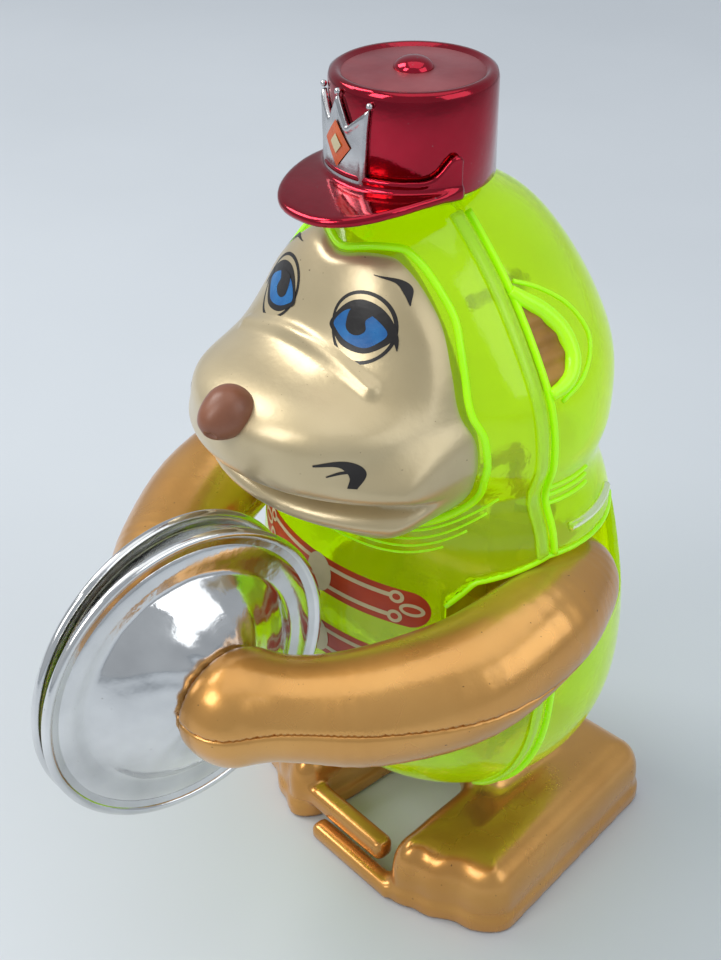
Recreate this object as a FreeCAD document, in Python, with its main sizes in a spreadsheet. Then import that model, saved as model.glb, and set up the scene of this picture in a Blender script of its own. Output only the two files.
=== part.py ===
import FreeCAD, Part
import math
import os
import Sketcher

# Wind-up monkey that claps two cymbals and shuffles on its feet.  Millimetres, +Z up, the monkey
# faces -Y and its left side is +X.  The origin is on the floor, under the middle of its outer box.

doc = FreeCAD.newDocument("ClappingMonkey")
sheet = doc.addObject("Spreadsheet::Sheet", "Dim")

DRIVING = {
    # body shells
    "seam_y": 17.0, "wall": 1.4,
    "slot_low": 64.8, "slot_high": 86.0, "slot_front": -14.0, "slot_rear": 23.0, "slot_inner": 22.0,
    # face
    "brow_wide": 24.2, "brow_deep": 14.2, "brow_tall": 34.0, "brow_y": -10.2, "brow_z": 100.2,
    "muzzle_wide": 20.6, "muzzle_deep": 16.8, "muzzle_tall": 9.5, "muzzle_y": -20.6, "muzzle_z": 109.3,
    "cheek_wide": 24.6, "cheek_deep": 16.2, "cheek_tall": 9.5, "cheek_y": -12.0, "cheek_z": 100.6,
    "mask_wide": 25.0, "mask_tall": 21.0, "mask_z": 111.5,
    "nose_radius": 4.4, "nose_y": -34.6, "nose_z": 112.0,
    # ears
    "ear_x": 26.5, "ear_y": 4.0, "ear_z": 118.0, "ear_tall": 8.5, "ear_deep": 3.6, "ear_wide": 6.0,
    # hat
    "hat_radius": 12.4, "hat_low": 139.5, "hat_high": 155.0, "hat_wall": 1.0, "hat_edge": 1.0,
    "visor_reach": 24.2, "visor_half": 13.6, "visor_thick": 1.2, "button_radius": 3.0, "button_tall": 1.4,
    "badge_thick": 0.6, "badge_tall": 14.0, "badge_half_angle": 32.0,
    # arms
    "arm_pivot_x": 19.0, "arm_pivot_y": 8.0, "arm_z": 75.2, "arm_radius": 8.8, "pin_radius": 1.5,
    "pin_fit": 0.05, "hub_radius": 5.4,
    # cymbals
    "cymbal_y": -49.7, "cymbal_z": 71.0, "cymbal_radius": 25.0, "cymbal_metal": 0.45,
    "cymbal_yaw": 3.0, "dome_radius": 18.5, "dome_deep": 8.0, "cymbal_gap": 2.45, "rim_radius": 0.8,
    # feet
    "foot_tall": 14.0, "foot_wall": 1.6, "foot_front_y": -17.0, "bar_low_tall": 3.0, "bar_high_tall": 8.0,
    "bar_deep": 4.0, "leg_long": 18.0, "leg_wide": 10.0, "leg_x": 6.6, "leg_y": 8.2,
    "leg_top": 24.8, "leg_room": 1.2, "foot_stroke": 2.5,
    # clockwork motor, whose shafts lie across the body
    "tooth_size": 0.7, "plate_x": 12.0, "plate_thick": 1.0, "great_y": 16.0, "great_z": 50.0,
    "crank_y": 17.0, "crank_z": 29.5, "governor_lift": 150.0, "shaft_radius": 1.2,
    "plate_top": 64.4, "bridge_thick": 1.2, "pillar_radius": 1.3,
    "link_x": 14.4, "link_thick": 1.4, "rocker_y": 29.0, "rocker_z": 50.0,
    "knob_x": -46.0, "knob_radius": 8.5, "knob_thick": 4.0,
}
TEETH = {"great_wheel": 36, "second_pinion": 10, "second_wheel": 30, "crank_pinion": 10, "governor_pinion": 8}

# Corners of a foot seen from above, on the left side: toe inner, toe outer, heel outer, heel inner.
FOOT_CORNERS = [(10.9, -17.0), (34.4, -9.4), (29.4, 40.6), (8.4, 39.6)]

# Shell screws by x, y from the seam, and z.
SCREWS = [(-20, 24.5, 44), (20, 24.5, 44), (0, 26.0, 112)]

# Outer form of head and torso, as level rings: height, half width, front and rear measured from the seam.
RINGS = [
    (22.0, 14.0, -4.0, 22.0), (24.5, 20.5, -10.0, 28.0), (29.0, 26.5, -15.0, 33.0), (37.0, 31.5, -19.0, 37.0),
    (48.0, 34.6, -21.3, 38.6), (62.0, 35.2, -21.6, 37.8), (76.0, 34.0, -20.4, 34.6), (88.0, 32.4, -18.6, 30.6),
    (94.5, 30.1, -17.6, 29.2), (101.5, 31.1, -20.5, 31.6), (110.0, 29.9, -21.5, 32.8), (118.0, 25.9, -20.5, 30.9),
    (126.6, 20.0, -17.2, 26.2), (133.0, 14.2, -13.0, 20.4), (138.2, 8.6, -6.0, 11.6),
]


def fill_sheet():
    """Write every driving dimension as a plain number with its alias."""
    for row, (alias, value) in enumerate(DRIVING.items(), start=1):
        sheet.set(f"A{row}", alias)
        sheet.set(f"B{row}", str(value))
        sheet.setAlias(f"B{row}", alias)
    doc.recompute()


fill_sheet()
nodes = []


def value(alias):
    """A driving dimension as a number."""
    return float(sheet.get(alias))


def vec(x, y, z):
    return FreeCAD.Vector(x, y, z)


def node(thing, label):
    """Mark a document object as one finished sub-part."""
    thing.Label = label
    nodes.append(thing)
    return thing


def feature(name, shape):
    """Document object for a shape that only Part's own functions can make."""
    thing = doc.addObject("Part::Feature", name)
    thing.Shape = shape
    thing.Placement = shape.Placement
    return thing


def primitive(kind, name, cells, turn=None):
    """Part primitive whose properties and place are bound to the sheet."""
    thing = doc.addObject(kind, name)
    if turn:
        thing.Placement.Rotation = FreeCAD.Rotation(*turn)
    for prop, formula in cells.items():
        thing.setExpression(prop.replace("at_", "Placement.Base."), formula)
    return thing


def box(name, x, y, z, length, width, height):
    return primitive("Part::Box", name, {
        "at_x": x, "at_y": y, "at_z": z, "Length": length, "Width": width, "Height": height})


def rod(name, x, y, z, radius, length, along="z"):
    """Cylinder whose axis runs along x, y or z from its given end."""
    turns = {"x": (vec(0, 1, 0), 90), "y": (vec(1, 0, 0), -90), "z": None}
    return primitive("Part::Cylinder", name, {
        "at_x": x, "at_y": y, "at_z": z, "Radius": radius, "Height": length}, turns[along])


def cut(name, base, *tools):
    thing = doc.addObject("Part::Cut", name)
    thing.Base = base
    thing.Tool = tools[0] if len(tools) == 1 else fuse(name + "Tools", *tools)
    return thing


def fuse(name, *shapes):
    thing = doc.addObject("Part::MultiFuse", name)
    thing.Shapes = list(shapes)
    return thing


def common(name, *shapes):
    thing = doc.addObject("Part::MultiCommon", name)
    thing.Shapes = list(shapes)
    return thing


def origin_plane(body, role):
    return next(item for item in body.Origin.OriginFeatures if item.Role == role)


def outline(body, role, corners):
    """Closed sketch of straight edges whose corners are pairs of formulas."""
    sketch = body.newObject("Sketcher::SketchObject", body.Name + "Sketch")
    sketch.AttachmentSupport = (origin_plane(body, role), [""])
    sketch.MapMode = "FlatFace"
    spots = [vec(sheet.evalExpression(a), sheet.evalExpression(b), 0) for a, b in corners]
    count = len(spots)
    for index in range(count):
        sketch.addGeometry(Part.LineSegment(spots[index], spots[(index + 1) % count]), False)
    for index in range(count):
        sketch.addConstraint(Sketcher.Constraint("Coincident", index, 2, (index + 1) % count, 1))
    for index, pair in enumerate(corners):
        for kind, formula, number in zip(("DistanceX", "DistanceY"), pair, spots[index]):
            place = sketch.addConstraint(Sketcher.Constraint(kind, -1, 1, index, 1, number))
            sketch.setExpression(f"Constraints[{place}]", formula)
    return sketch


def turned(name, corners):
    """PartDesign body turned about +Z from an outline of radius and height formulas."""
    body = doc.addObject("PartDesign::Body", name)
    sketch = outline(body, "XZ_Plane", corners)
    revolution = body.newObject("PartDesign::Revolution", name + "Turn")
    revolution.Profile = sketch
    revolution.ReferenceAxis = (sketch, ["V_Axis"])
    revolution.Angle = 360
    return body


def plate(name, corners, holes, thick, x):
    """PartDesign plate in the YZ plane with round holes (y, z, radius formulas)."""
    body = doc.addObject("PartDesign::Body", name)
    sketch = outline(body, "YZ_Plane", corners)
    pad = body.newObject("PartDesign::Pad", name + "Pad")
    pad.Profile = sketch
    pad.setExpression("Length", thick)
    doc.recompute()
    if holes:
        drill = body.newObject("Sketcher::SketchObject", name + "Holes")
        drill.AttachmentSupport = (origin_plane(body, "YZ_Plane"), [""])
        drill.MapMode = "FlatFace"
        for index, (y, z, radius) in enumerate(holes):
            numbers = [sheet.evalExpression(text) for text in (y, z, radius)]
            drill.addGeometry(Part.Circle(vec(numbers[0], numbers[1], 0), vec(0, 0, 1), numbers[2]), False)
            for kind, formula, number in (("DistanceX", y, numbers[0]), ("DistanceY", z, numbers[1])):
                place = drill.addConstraint(Sketcher.Constraint(kind, -1, 1, index, 3, number))
                drill.setExpression(f"Constraints[{place}]", formula)
            place = drill.addConstraint(Sketcher.Constraint("Radius", index, numbers[2]))
            drill.setExpression(f"Constraints[{place}]", radius)
        pocket = body.newObject("PartDesign::Pocket", name + "Drilled")
        pocket.Profile = drill
        pocket.Type = 1
        pocket.Midplane = True
        doc.recompute()
    body.setExpression("Placement.Base.x", x)
    return body


# ---------------------------------------------------------------- shells


def ring_wire(height, half_width, front, rear, inset):
    """Level closed curve of an egg-shaped ring, moved in by the inset."""
    middle = (front + rear) / 2 + value("seam_y")
    deep = (rear - front) / 2 - inset
    wide = half_width - inset
    steps = 16
    points = []
    for step in range(steps):
        turn = 2 * math.pi * step / steps
        points.append(vec(wide * math.cos(turn), middle + deep * math.sin(turn), height))
    curve = Part.BSplineCurve()
    curve.interpolate(Points=points, PeriodicFlag=True)
    return Part.Wire(curve.toShape())


def body_form(inset):
    """Solid of head and torso; a positive inset gives the hollow inside it."""
    rings = [list(ring) for ring in RINGS]
    rings[0][0] += inset
    rings[-1][0] -= inset
    return Part.makeLoft([ring_wire(*ring, inset) for ring in rings], True, False)


def half_space(name, rear):
    """Box that holds everything behind the seam, or everything before it."""
    y = "Dim.seam_y" if rear else "Dim.seam_y - 80"
    return box(name, "-60", y, "0", "120", "80", "170")


def make_shells():
    """Front and rear shells: hollow, with arm slots, leg openings and a hole for the winding arbor."""
    outer = feature("BodyOuter", body_form(0))
    inner = feature("BodyInner", body_form(value("wall")))
    hollow = cut("BodyHollow", outer, inner)
    tools = []
    for side, text in ((1, "Left"), (-1, "Right")):
        x = "Dim.slot_inner" if side > 0 else "-Dim.slot_inner - 30"
        tools.append(box(text + "ArmSlot", x, "Dim.seam_y + Dim.slot_front", "Dim.slot_low",
                         "30", "Dim.slot_rear - Dim.slot_front", "Dim.slot_high - Dim.slot_low"))
        x = "Dim.leg_x - Dim.leg_room" if side > 0 else "-Dim.leg_x - Dim.leg_wide - Dim.leg_room"
        tools.append(box(text + "LegHole", x, "Dim.seam_y + Dim.leg_y - Dim.foot_stroke - 0.8", "15",
                         "Dim.leg_wide + 2 * Dim.leg_room", "Dim.leg_long + 2 * Dim.foot_stroke + 1.6", "16"))
    tools.append(rod("WinderHole", "-60", "Dim.seam_y + Dim.great_y", "Dim.great_z", "2.6", "40", "x"))
    body = cut("BodyOpen", hollow, *tools)
    for label, rear in (("front_shell", False), ("rear_shell", True)):
        node(common(label + "Half", body, half_space(label + "Side", rear)), label)


def ellipsoid(name, x, y, z, rx, ry, rz):
    """Ellipsoid by its middle and half sizes, made in code because a primitive one has two equal sizes."""
    ball = Part.makeSphere(1.0)
    matrix = FreeCAD.Matrix()
    matrix.scale(vec(rx, ry, rz))
    shape = ball.transformGeometry(matrix)
    shape.translate(vec(x, y, z))
    return feature(name, shape)


def make_face():
    """Hollow face mask over the front shell, and its pushed-in nose."""
    seam = value("seam_y")
    lumps = []
    hollows = []
    for lump in ("brow", "muzzle", "cheek"):
        place = (0, seam + value(lump + "_y"), value(lump + "_z"))
        sizes = [value(lump + way) for way in ("_wide", "_deep", "_tall")]
        lumps.append(ellipsoid(lump + "Lump", *place, *sizes))
        hollows.append(ellipsoid(lump + "Hollow", *place, *[size - value("wall") for size in sizes]))
    window = ellipsoid("MaskWindow", 0, 0, value("mask_z"), value("mask_wide"), 60, value("mask_tall"))
    before = box("MaskBefore", "-40", "Dim.seam_y - 60", "80", "80", "51", "70")
    form = common("MaskForm", fuse("MaskMass", *lumps), window, before)
    nose_seat = primitive("Part::Sphere", "NoseSeat", {
        "at_y": "Dim.seam_y + Dim.nose_y", "at_z": "Dim.nose_z", "Radius": "Dim.nose_radius"})
    mask = cut("MaskCut", form, feature("MaskBack", body_form(0)), *hollows, nose_seat)
    doc.recompute()
    shell = max(mask.Shape.Solids, key=lambda solid: solid.Volume)
    node(feature("FaceMask", shell), "face_mask")
    ball = primitive("Part::Sphere", "NoseBall", {
        "at_y": "Dim.seam_y + Dim.nose_y", "at_z": "Dim.nose_z", "Radius": "Dim.nose_radius"})
    node(ball, "nose")


def make_ears():
    """Ear rings that stand out behind the seam, each with a cup-shaped insert in its front."""
    for side, text in ((1, "left"), (-1, "right")):
        middle = (side * value("ear_x"), value("seam_y") + value("ear_y"), value("ear_z"))
        sizes = (value("ear_wide"), value("ear_deep"), value("ear_tall"))
        ear = ellipsoid(text + "EarMass", *middle, *sizes)
        cup = ellipsoid(text + "EarCup", middle[0], middle[1] - value("ear_deep") * 0.6, middle[2],
                        sizes[0] - 1.3, sizes[1], sizes[2] - 1.6)
        back = feature(text + "EarBack", body_form(0))
        node(cut(text + "Ear", ear, cup, back), text + "_ear")
        insert = ellipsoid(text + "InsertMass", middle[0], middle[1] - value("ear_deep") * 0.6, middle[2],
                           sizes[0] - 1.5, sizes[1] - 0.2, sizes[2] - 1.8)
        front = box(text + "InsertTrim", "-60", "Dim.seam_y - 40", "80", "120", "Dim.ear_y + 40 - 0.4", "70")
        insert_back = feature(text + "InsertBack", body_form(0))
        node(cut(text + "Insert", insert, front, insert_back), text + "_ear_insert")


def make_hat():
    """Pillbox hat: crown, band with its peak, crown-shaped badge and the button on top."""
    low, high = "Dim.hat_low", "Dim.hat_high"
    crown = turned("HatCrown", [
        ("Dim.hat_radius - Dim.hat_wall", low), ("Dim.hat_radius", low),
        ("Dim.hat_radius", high + " - Dim.hat_edge"), ("Dim.hat_radius - Dim.hat_edge", high), ("0", high),
        ("0", high + " - Dim.hat_wall"), ("Dim.hat_radius - Dim.hat_wall", high + " - Dim.hat_wall")])
    crown.setExpression("Placement.Base.y", "Dim.seam_y")
    node(crown, "hat_crown")
    button = turned("HatButton", [
        ("0", high), ("Dim.button_radius", high), ("Dim.button_radius", high + " + Dim.button_tall * 0.6"),
        ("Dim.button_radius - 0.5", high + " + Dim.button_tall"), ("0", high + " + Dim.button_tall")])
    button.setExpression("Placement.Base.y", "Dim.seam_y")
    node(button, "hat_button")
    brim = Part.makeCylinder(1.0, value("visor_thick"))
    matrix = FreeCAD.Matrix()
    matrix.scale(vec(value("visor_half"), value("visor_reach"), 1))
    brim = brim.transformGeometry(matrix)
    brim.translate(vec(0, value("seam_y"), value("hat_low")))
    keep = Part.makeBox(40, 30, 20, vec(-20, value("seam_y") - 33.5, 130))
    crown_room = Part.makeCylinder(value("hat_radius"), 50, vec(0, value("seam_y"), 120))
    node(feature("HatVisor", brim.common(keep).cut(crown_room).cut(body_form(0))), "hat_visor")
    ring = cut("BadgeRing",
               rod("BadgeOuter", "0", "Dim.seam_y", low + " + 1.5", "Dim.hat_radius + Dim.badge_thick",
                   "Dim.badge_tall"),
               rod("BadgeInner", "0", "Dim.seam_y", "100", "Dim.hat_radius", "80"))
    wedge = primitive("Part::Cylinder", "BadgeWedge", {
        "at_y": "Dim.seam_y", "at_z": "100", "Radius": "40", "Height": "80",
        "Angle": "2 * Dim.badge_half_angle"},
        (vec(0, 0, 1), -90 - value("badge_half_angle")))
    node(common("HatBadge", ring, wedge), "hat_badge")


def make_shell_screws():
    """Three screws that close the shells from behind."""
    screws = []
    for index, (x, y, z) in enumerate(SCREWS):
        head = rod(f"ScrewHead{index}", str(x), f"Dim.seam_y + {y} - 1.6", str(z), "2.2", "1.6", "y")
        shank = rod(f"ScrewShank{index}", str(x), f"Dim.seam_y + {y} - 12", str(z), "1.1", "11", "y")
        screws.append(fuse(f"Screw{index}", head, shank))
    node(fuse("Screws", *screws), "shell_screws")


# ---------------------------------------------------------------- clockwork


def involute_gear(teeth, thick, bore, turn, x, y, z):
    """Spur gear on an X axis; a gap's middle, not a tooth's, points along the turn angle."""
    module = value("tooth_size")
    pitch = module * teeth / 2
    base = pitch * math.cos(math.radians(20))
    tip = pitch + 0.9 * module
    root = pitch - 1.2 * module
    half_tooth = math.pi / (2 * teeth) - 0.06 / pitch

    def involute_angle(radius):
        if radius <= base:
            return 0.0
        roll = math.sqrt((radius / base) ** 2 - 1)
        return roll - math.atan(roll)

    offset = half_tooth + involute_angle(pitch)
    radii = [root, max(base, root), (pitch + base) / 2 + 0.05, pitch, (pitch + tip) / 2, tip]
    points = []
    for index in range(teeth):
        middle = 2 * math.pi * (index + 0.5) / teeth + turn
        rising = [(radius, middle - offset + involute_angle(radius)) for radius in radii]
        falling = [(radius, middle + offset - involute_angle(radius)) for radius in reversed(radii)]
        points += [vec(0, r * math.cos(a), r * math.sin(a)) for r, a in rising + falling]
    wire = Part.makePolygon(points + [points[0]])
    gear = Part.Face(wire).extrude(vec(thick, 0, 0))
    if bore:
        gear = gear.cut(Part.makeCylinder(bore, thick * 3, vec(-thick, 0, 0), vec(1, 0, 0)))
    gear.translate(vec(x, y, z))
    return gear


def shaft_places():
    """Axis (y, z) of each shaft and the angle of each mesh, from the gears' centre distances."""
    module = value("tooth_size")
    seam = value("seam_y")
    great = (seam + value("great_y"), value("great_z"))
    crank = (seam + value("crank_y"), value("crank_z"))
    first = module * (TEETH["great_wheel"] + TEETH["second_pinion"]) / 2
    last = module * (TEETH["second_wheel"] + TEETH["crank_pinion"]) / 2
    span = math.hypot(crank[0] - great[0], crank[1] - great[1])
    direction = math.atan2(crank[1] - great[1], crank[0] - great[0])
    corner = math.acos((first ** 2 + span ** 2 - last ** 2) / (2 * first * span))
    lean = direction - corner
    second = (great[0] + first * math.cos(lean), great[1] + first * math.sin(lean))
    reach = module * (TEETH["second_wheel"] + TEETH["governor_pinion"]) / 2
    lift = math.radians(value("governor_lift"))
    governor = (second[0] + reach * math.cos(lift), second[1] + reach * math.sin(lift))
    return {"great": great, "second": second, "crank": crank, "governor": governor}


def mesh_turn(name, own, other, gap_faces):
    """Turn that points a tooth gap (or a tooth) of a gear on one shaft at another shaft."""
    angle = math.atan2(other[1] - own[1], other[0] - own[0])
    return angle if gap_faces else angle - math.pi / TEETH[name]


def make_gears(places):
    """Wheels and pinions, in mesh at rest: the wheels show a gap and the pinions a tooth."""
    great, second = places["great"], places["second"]
    shaft = value("shaft_radius")
    layout = [
        ("great_wheel", "great", second, True, 4.0, 1.4, shaft),
        ("second_pinion", "second", great, False, 3.8, 1.8, shaft),
        ("second_wheel", "second", places["crank"], True, 6.4, 1.2, shaft),
        ("crank_pinion", "crank", second, False, 6.2, 1.6, shaft),
    ]
    for name, own, other, gap_faces, x, thick, bore in layout:
        turn = mesh_turn(name, places[own], other, gap_faces)
        node(feature(name, involute_gear(TEETH[name], thick, bore, turn, x, *places[own])), name)
    # The governor's pinion finds the second wheel already turned for the crank's pinion.
    wheel_turn = mesh_turn("second_wheel", second, places["crank"], True)
    line = math.atan2(places["governor"][1] - second[1], places["governor"][0] - second[0])
    pitch_angle = 2 * math.pi / TEETH["second_wheel"]
    off_gap = (line - wheel_turn) % pitch_angle
    back = line + math.pi
    step_up = TEETH["second_wheel"] / TEETH["governor_pinion"]
    pinion_turn = back - math.pi / TEETH["governor_pinion"] + off_gap * step_up
    node(feature("governor_pinion", involute_gear(
        TEETH["governor_pinion"], 1.6, 0.8, pinion_turn, 6.2, *places["governor"])), "governor_pinion")


def shaft(name, place, radius, start, end):
    return rod(name, str(start), str(place[0]), str(place[1]), radius, str(end - start), "x")


def make_shafts(places):
    """Arbors of the clockwork with what is fixed to each of them."""
    arbor = shaft("WindingArbor", places["great"], "Dim.shaft_radius", value("knob_x") + 2, 14)
    collar = shaft("ArborCollar", places["great"], "2.2", -10.5, 3.4)
    node(fuse("WindingArborWhole", arbor, collar), "winding_arbor")
    grip = rod("KnobDisc", "Dim.knob_x", str(places["great"][0]), str(places["great"][1]),
               "Dim.knob_radius", "Dim.knob_thick", "x")
    neck = rod("KnobNeck", "Dim.knob_x + Dim.knob_thick", str(places["great"][0]), str(places["great"][1]),
               "2.2", "4", "x")
    hole = shaft("KnobHole", places["great"], "Dim.shaft_radius", value("knob_x") + 2, 0)
    flats = []
    for index, shift in enumerate((-1, 1)):
        offset = f"{places['great'][0]} + {shift} * (Dim.knob_radius * 0.55 + 5) - 5"
        flats.append(box(f"KnobFlat{index}", "Dim.knob_x - 1", offset, "0", "Dim.knob_thick", "10", "100"))
    node(cut("Knob", fuse("KnobMass", grip, neck), hole, *flats), "winding_knob")
    node(shaft("SecondArbor", places["second"], "Dim.shaft_radius", -14, 14), "second_arbor")
    governor = shaft("GovernorArbor", places["governor"], "0.8", 3, 14)
    node(governor, "governor_arbor")
    disc = shaft("FlyDisc", places["governor"], "5.0", 9.0, 10.4)
    node(cut("FlyWheel", disc, shaft("FlyBore", places["governor"], "0.8", 5, 14)), "governor_flywheel")


def make_crankshaft(places):
    """Crankshaft with two opposite cranks outside the plates and the arm cam in its middle."""
    y, z = places["crank"]
    throw = value("foot_stroke")
    bar = shaft("CrankBar", places["crank"], "Dim.shaft_radius", -13.3, 13.3)
    node(bar, "crankshaft")
    for side, text in ((1, "left"), (-1, "right")):
        start = 13.3 if side > 0 else -14.3
        disc = shaft(text + "CrankDisc", places["crank"], "4.2", start, start + 1)
        pin_start = 14.3 if side > 0 else -16.3
        pin = shaft(text + "CrankPin", (y, z + side * throw), "0.9", pin_start, pin_start + 2)
        node(fuse(text + "Crank", disc, pin), text + "_crank")
    lobe = shaft("CamLobe", (y - 2.0, z), "3.6", -1.2, 1.2)
    node(cut("ArmCam", lobe, shaft("CamBore", places["crank"], "Dim.shaft_radius", -3, 3)), "arm_cam")


def make_mainspring(places):
    """Flat spiral spring round the winding arbor, hooked to a pillar of the frame."""
    turns, inner, outer, thick = 6, 2.2, 10.4, 0.35
    steps = 18 * turns

    def spiral(shift):
        curve = Part.BSplineCurve()
        spots = []
        for step in range(steps + 1):
            angle = 2 * math.pi * turns * step / steps
            radius = inner + shift + (outer - inner - thick) * step / steps
            spots.append(vec(0, radius * math.cos(angle), radius * math.sin(angle)))
        curve.interpolate(Points=spots)
        return curve.toShape(), spots

    near, near_spots = spiral(0.0)
    far, far_spots = spiral(thick)
    ends = [Part.makeLine(near_spots[0], far_spots[0]), Part.makeLine(near_spots[-1], far_spots[-1])]
    strip = Part.Face(Part.Wire(Part.__sortEdges__([near, far] + ends))).extrude(vec(11, 0, 0))
    strip.translate(vec(-9.5, *places["great"]))
    node(feature("Mainspring", strip), "mainspring")


def make_frame(places):
    """Two motor plates, their pillars, the bridge that carries the arm pins, and the pins."""
    corners = [(5, 26.4), (23, 26.4), (32.4, 40), (33, 64.4), (-6, 64.4), (-12, 52), (-12, 38)]
    edge = [(f"Dim.seam_y + {y}", str(z)) for y, z in corners]
    bores = [("great", "Dim.shaft_radius + Dim.pin_fit"), ("second", "Dim.shaft_radius + Dim.pin_fit"),
             ("crank", "Dim.shaft_radius + Dim.pin_fit"), ("governor", "0.8 + Dim.pin_fit")]
    holes = [(str(places[name][0]), str(places[name][1]), radius) for name, radius in bores]
    node(plate("PlateLeft", edge, holes, "Dim.plate_thick", "Dim.plate_x"), "motor_plate_left")
    right_holes = holes[:3]
    node(plate("PlateRight", edge, right_holes, "Dim.plate_thick", "-Dim.plate_x - Dim.plate_thick"),
         "motor_plate_right")
    posts = []
    for index, (y, z) in enumerate(((23.5, 62.6), (-9.3, 52.5), (-10.3, 39.2))):
        posts.append(rod(f"Pillar{index}", "-Dim.plate_x", f"Dim.seam_y + {y}", str(z), "Dim.pillar_radius",
                         "2 * Dim.plate_x", "x"))
    node(fuse("Pillars", *posts), "motor_pillars")
    bridge = box("Bridge", "-24", "Dim.seam_y + 2", "Dim.plate_top", "48", "12", "Dim.bridge_thick")
    node(bridge, "arm_bridge")
    pins = [rod(f"ArmPin{index}", x, "Dim.seam_y + Dim.arm_pivot_y",
                "Dim.plate_top + Dim.bridge_thick", "Dim.pin_radius", "20.2")
            for index, x in enumerate(("Dim.arm_pivot_x", "-Dim.arm_pivot_x"))]
    node(fuse("ArmPins", *pins), "arm_pivot_pins")
    hinge = rod("RockerPin", "-Dim.plate_x", "Dim.seam_y + Dim.rocker_y", "Dim.rocker_z", "1.2",
                "Dim.plate_x + 3.2", "x")
    node(hinge, "rocker_pin")


def make_rocker():
    """Rocker that the cam pushes below, so that its top pushes the arm levers forward."""
    corners = [(24.8, 29.5), (26.6, 29.5), (31.4, 50), (31, 74), (29, 77), (10.6, 77), (10.6, 75), (27.4, 75),
               (28.4, 72), (26.6, 50)]
    edge = [(f"Dim.seam_y + {y}", str(z)) for y, z in corners]
    hole = [("Dim.seam_y + Dim.rocker_y", "Dim.rocker_z", "1.2 + Dim.pin_fit")]
    node(plate("Rocker", edge, hole, "2", "-1"), "arm_rocker")


# ---------------------------------------------------------------- arms and cymbals


def arm_route(side):
    """Corners of the arm's centre line, from its hub to the hand, and the radius of each bend."""
    seam = value("seam_y")
    z = value("arm_z")
    spots = [(value("arm_pivot_x"), 8.0, z), (36.4, 8.0, z), (35.9, -13.0, z - 1.2), (26.5, -33.0, z - 4.0),
             (10.6, -50.6, z - 4.0)]
    return [vec(side * x, y + seam, height) for x, y, height in spots], [0, 9.0, 50.0, 40.0, 0]


def rounded_path(spots, radii):
    """Wire of straight runs joined by tangent arcs."""
    edges = []
    last = spots[0]
    for index in range(1, len(spots) - 1):
        corner = spots[index]
        back = (spots[index - 1] - corner).normalize()
        ahead = (spots[index + 1] - corner).normalize()
        half = back.getAngle(ahead) / 2
        leg = radii[index] / math.tan(half)
        start = corner + back * leg
        end = corner + ahead * leg
        bisector = (back + ahead).normalize()
        middle = corner + bisector * (radii[index] / math.sin(half) - radii[index])
        edges.append(Part.LineSegment(last, start).toShape())
        edges.append(Part.Arc(start, middle, end).toShape())
        last = end
    edges.append(Part.LineSegment(last, spots[-1]).toShape())
    return Part.Wire(edges)


def tube_along(path, radius):
    start = path.Edges[0]
    direction = start.tangentAt(start.FirstParameter)
    circle = Part.Wire(Part.makeCircle(radius, path.Edges[0].Vertexes[0].Point, direction))
    return path.makePipeShell([circle], True, False)


def make_arm(side, text):
    """One arm: upper and lower half shells, hub, lever, cymbal with its rivet."""
    seam = value("seam_y")
    spots, radii = arm_route(-1)
    path = rounded_path(spots, radii)
    outer = tube_along(path, value("arm_radius")).fuse(Part.makeSphere(value("arm_radius"), spots[-1]))
    inner = tube_along(path, value("arm_radius") - value("wall"))
    tube = outer.cut(inner)
    pivot = vec(side * value("arm_pivot_x"), seam + value("arm_pivot_y"), 0)
    shell_pivot = vec(-value("arm_pivot_x"), seam + value("arm_pivot_y"), 0)
    hub_low, hub_high = value("plate_top") + value("bridge_thick") + 0.3, 84.0
    bore = Part.makeCylinder(value("pin_radius") + value("pin_fit"), 40, pivot + vec(0, 0, 60))
    hub_room = Part.makeCylinder(value("hub_radius"), 40, pivot + vec(0, 0, 60))
    shell_room = Part.makeCylinder(value("hub_radius"), 40, shell_pivot + vec(0, 0, 60))
    level = vec(-80, -80, 0)
    split = value("arm_z") - 3.2
    cymbal_tool = cymbal_shape(-1, value("dome_deep") + 0.02)
    for name, low, high in (("upper", split, 100.0), ("lower", 50.0, split)):
        zone = Part.makeBox(160, 160, high - low, level + vec(0, 0, low))
        half = tube.common(zone).cut(shell_room).cut(cymbal_tool)
        if side > 0:
            half = mirrored(half, -1)
        node(feature(f"{text}Arm{name}", half), f"{text}_arm_{name}")
    hub = Part.makeCylinder(value("hub_radius"), hub_high - hub_low, pivot + vec(0, 0, hub_low)).cut(bore)
    node(feature(text + "Hub", hub), text + "_arm_hub")
    lever_start = pivot + vec(-side * 15.5, -1.6, value("arm_z") - 1.0)
    lever = Part.makeBox(12.0, 3.2, 2.0, lever_start if side > 0 else lever_start - vec(12.0, 0, 0))
    node(feature(text + "Lever", lever.cut(hub_room)), text + "_arm_lever")


def cymbal_place(side):
    """Middle of the cymbal's rim plane and its outward direction, away from the other cymbal."""
    yaw = math.radians(value("cymbal_yaw"))
    outward = vec(side * math.cos(yaw), -math.sin(yaw), 0)
    middle = vec(side * value("cymbal_gap"), value("seam_y") + value("cymbal_y"), value("cymbal_z"))
    return middle, outward


def turn_to(shape, middle, outward):
    """Stand a shape made about +Z on the plane through the middle, facing outward."""
    rotation = FreeCAD.Rotation(vec(0, 0, 1), outward)
    placed = shape.copy()
    placed.Placement = FreeCAD.Placement(middle, rotation)
    return placed


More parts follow.
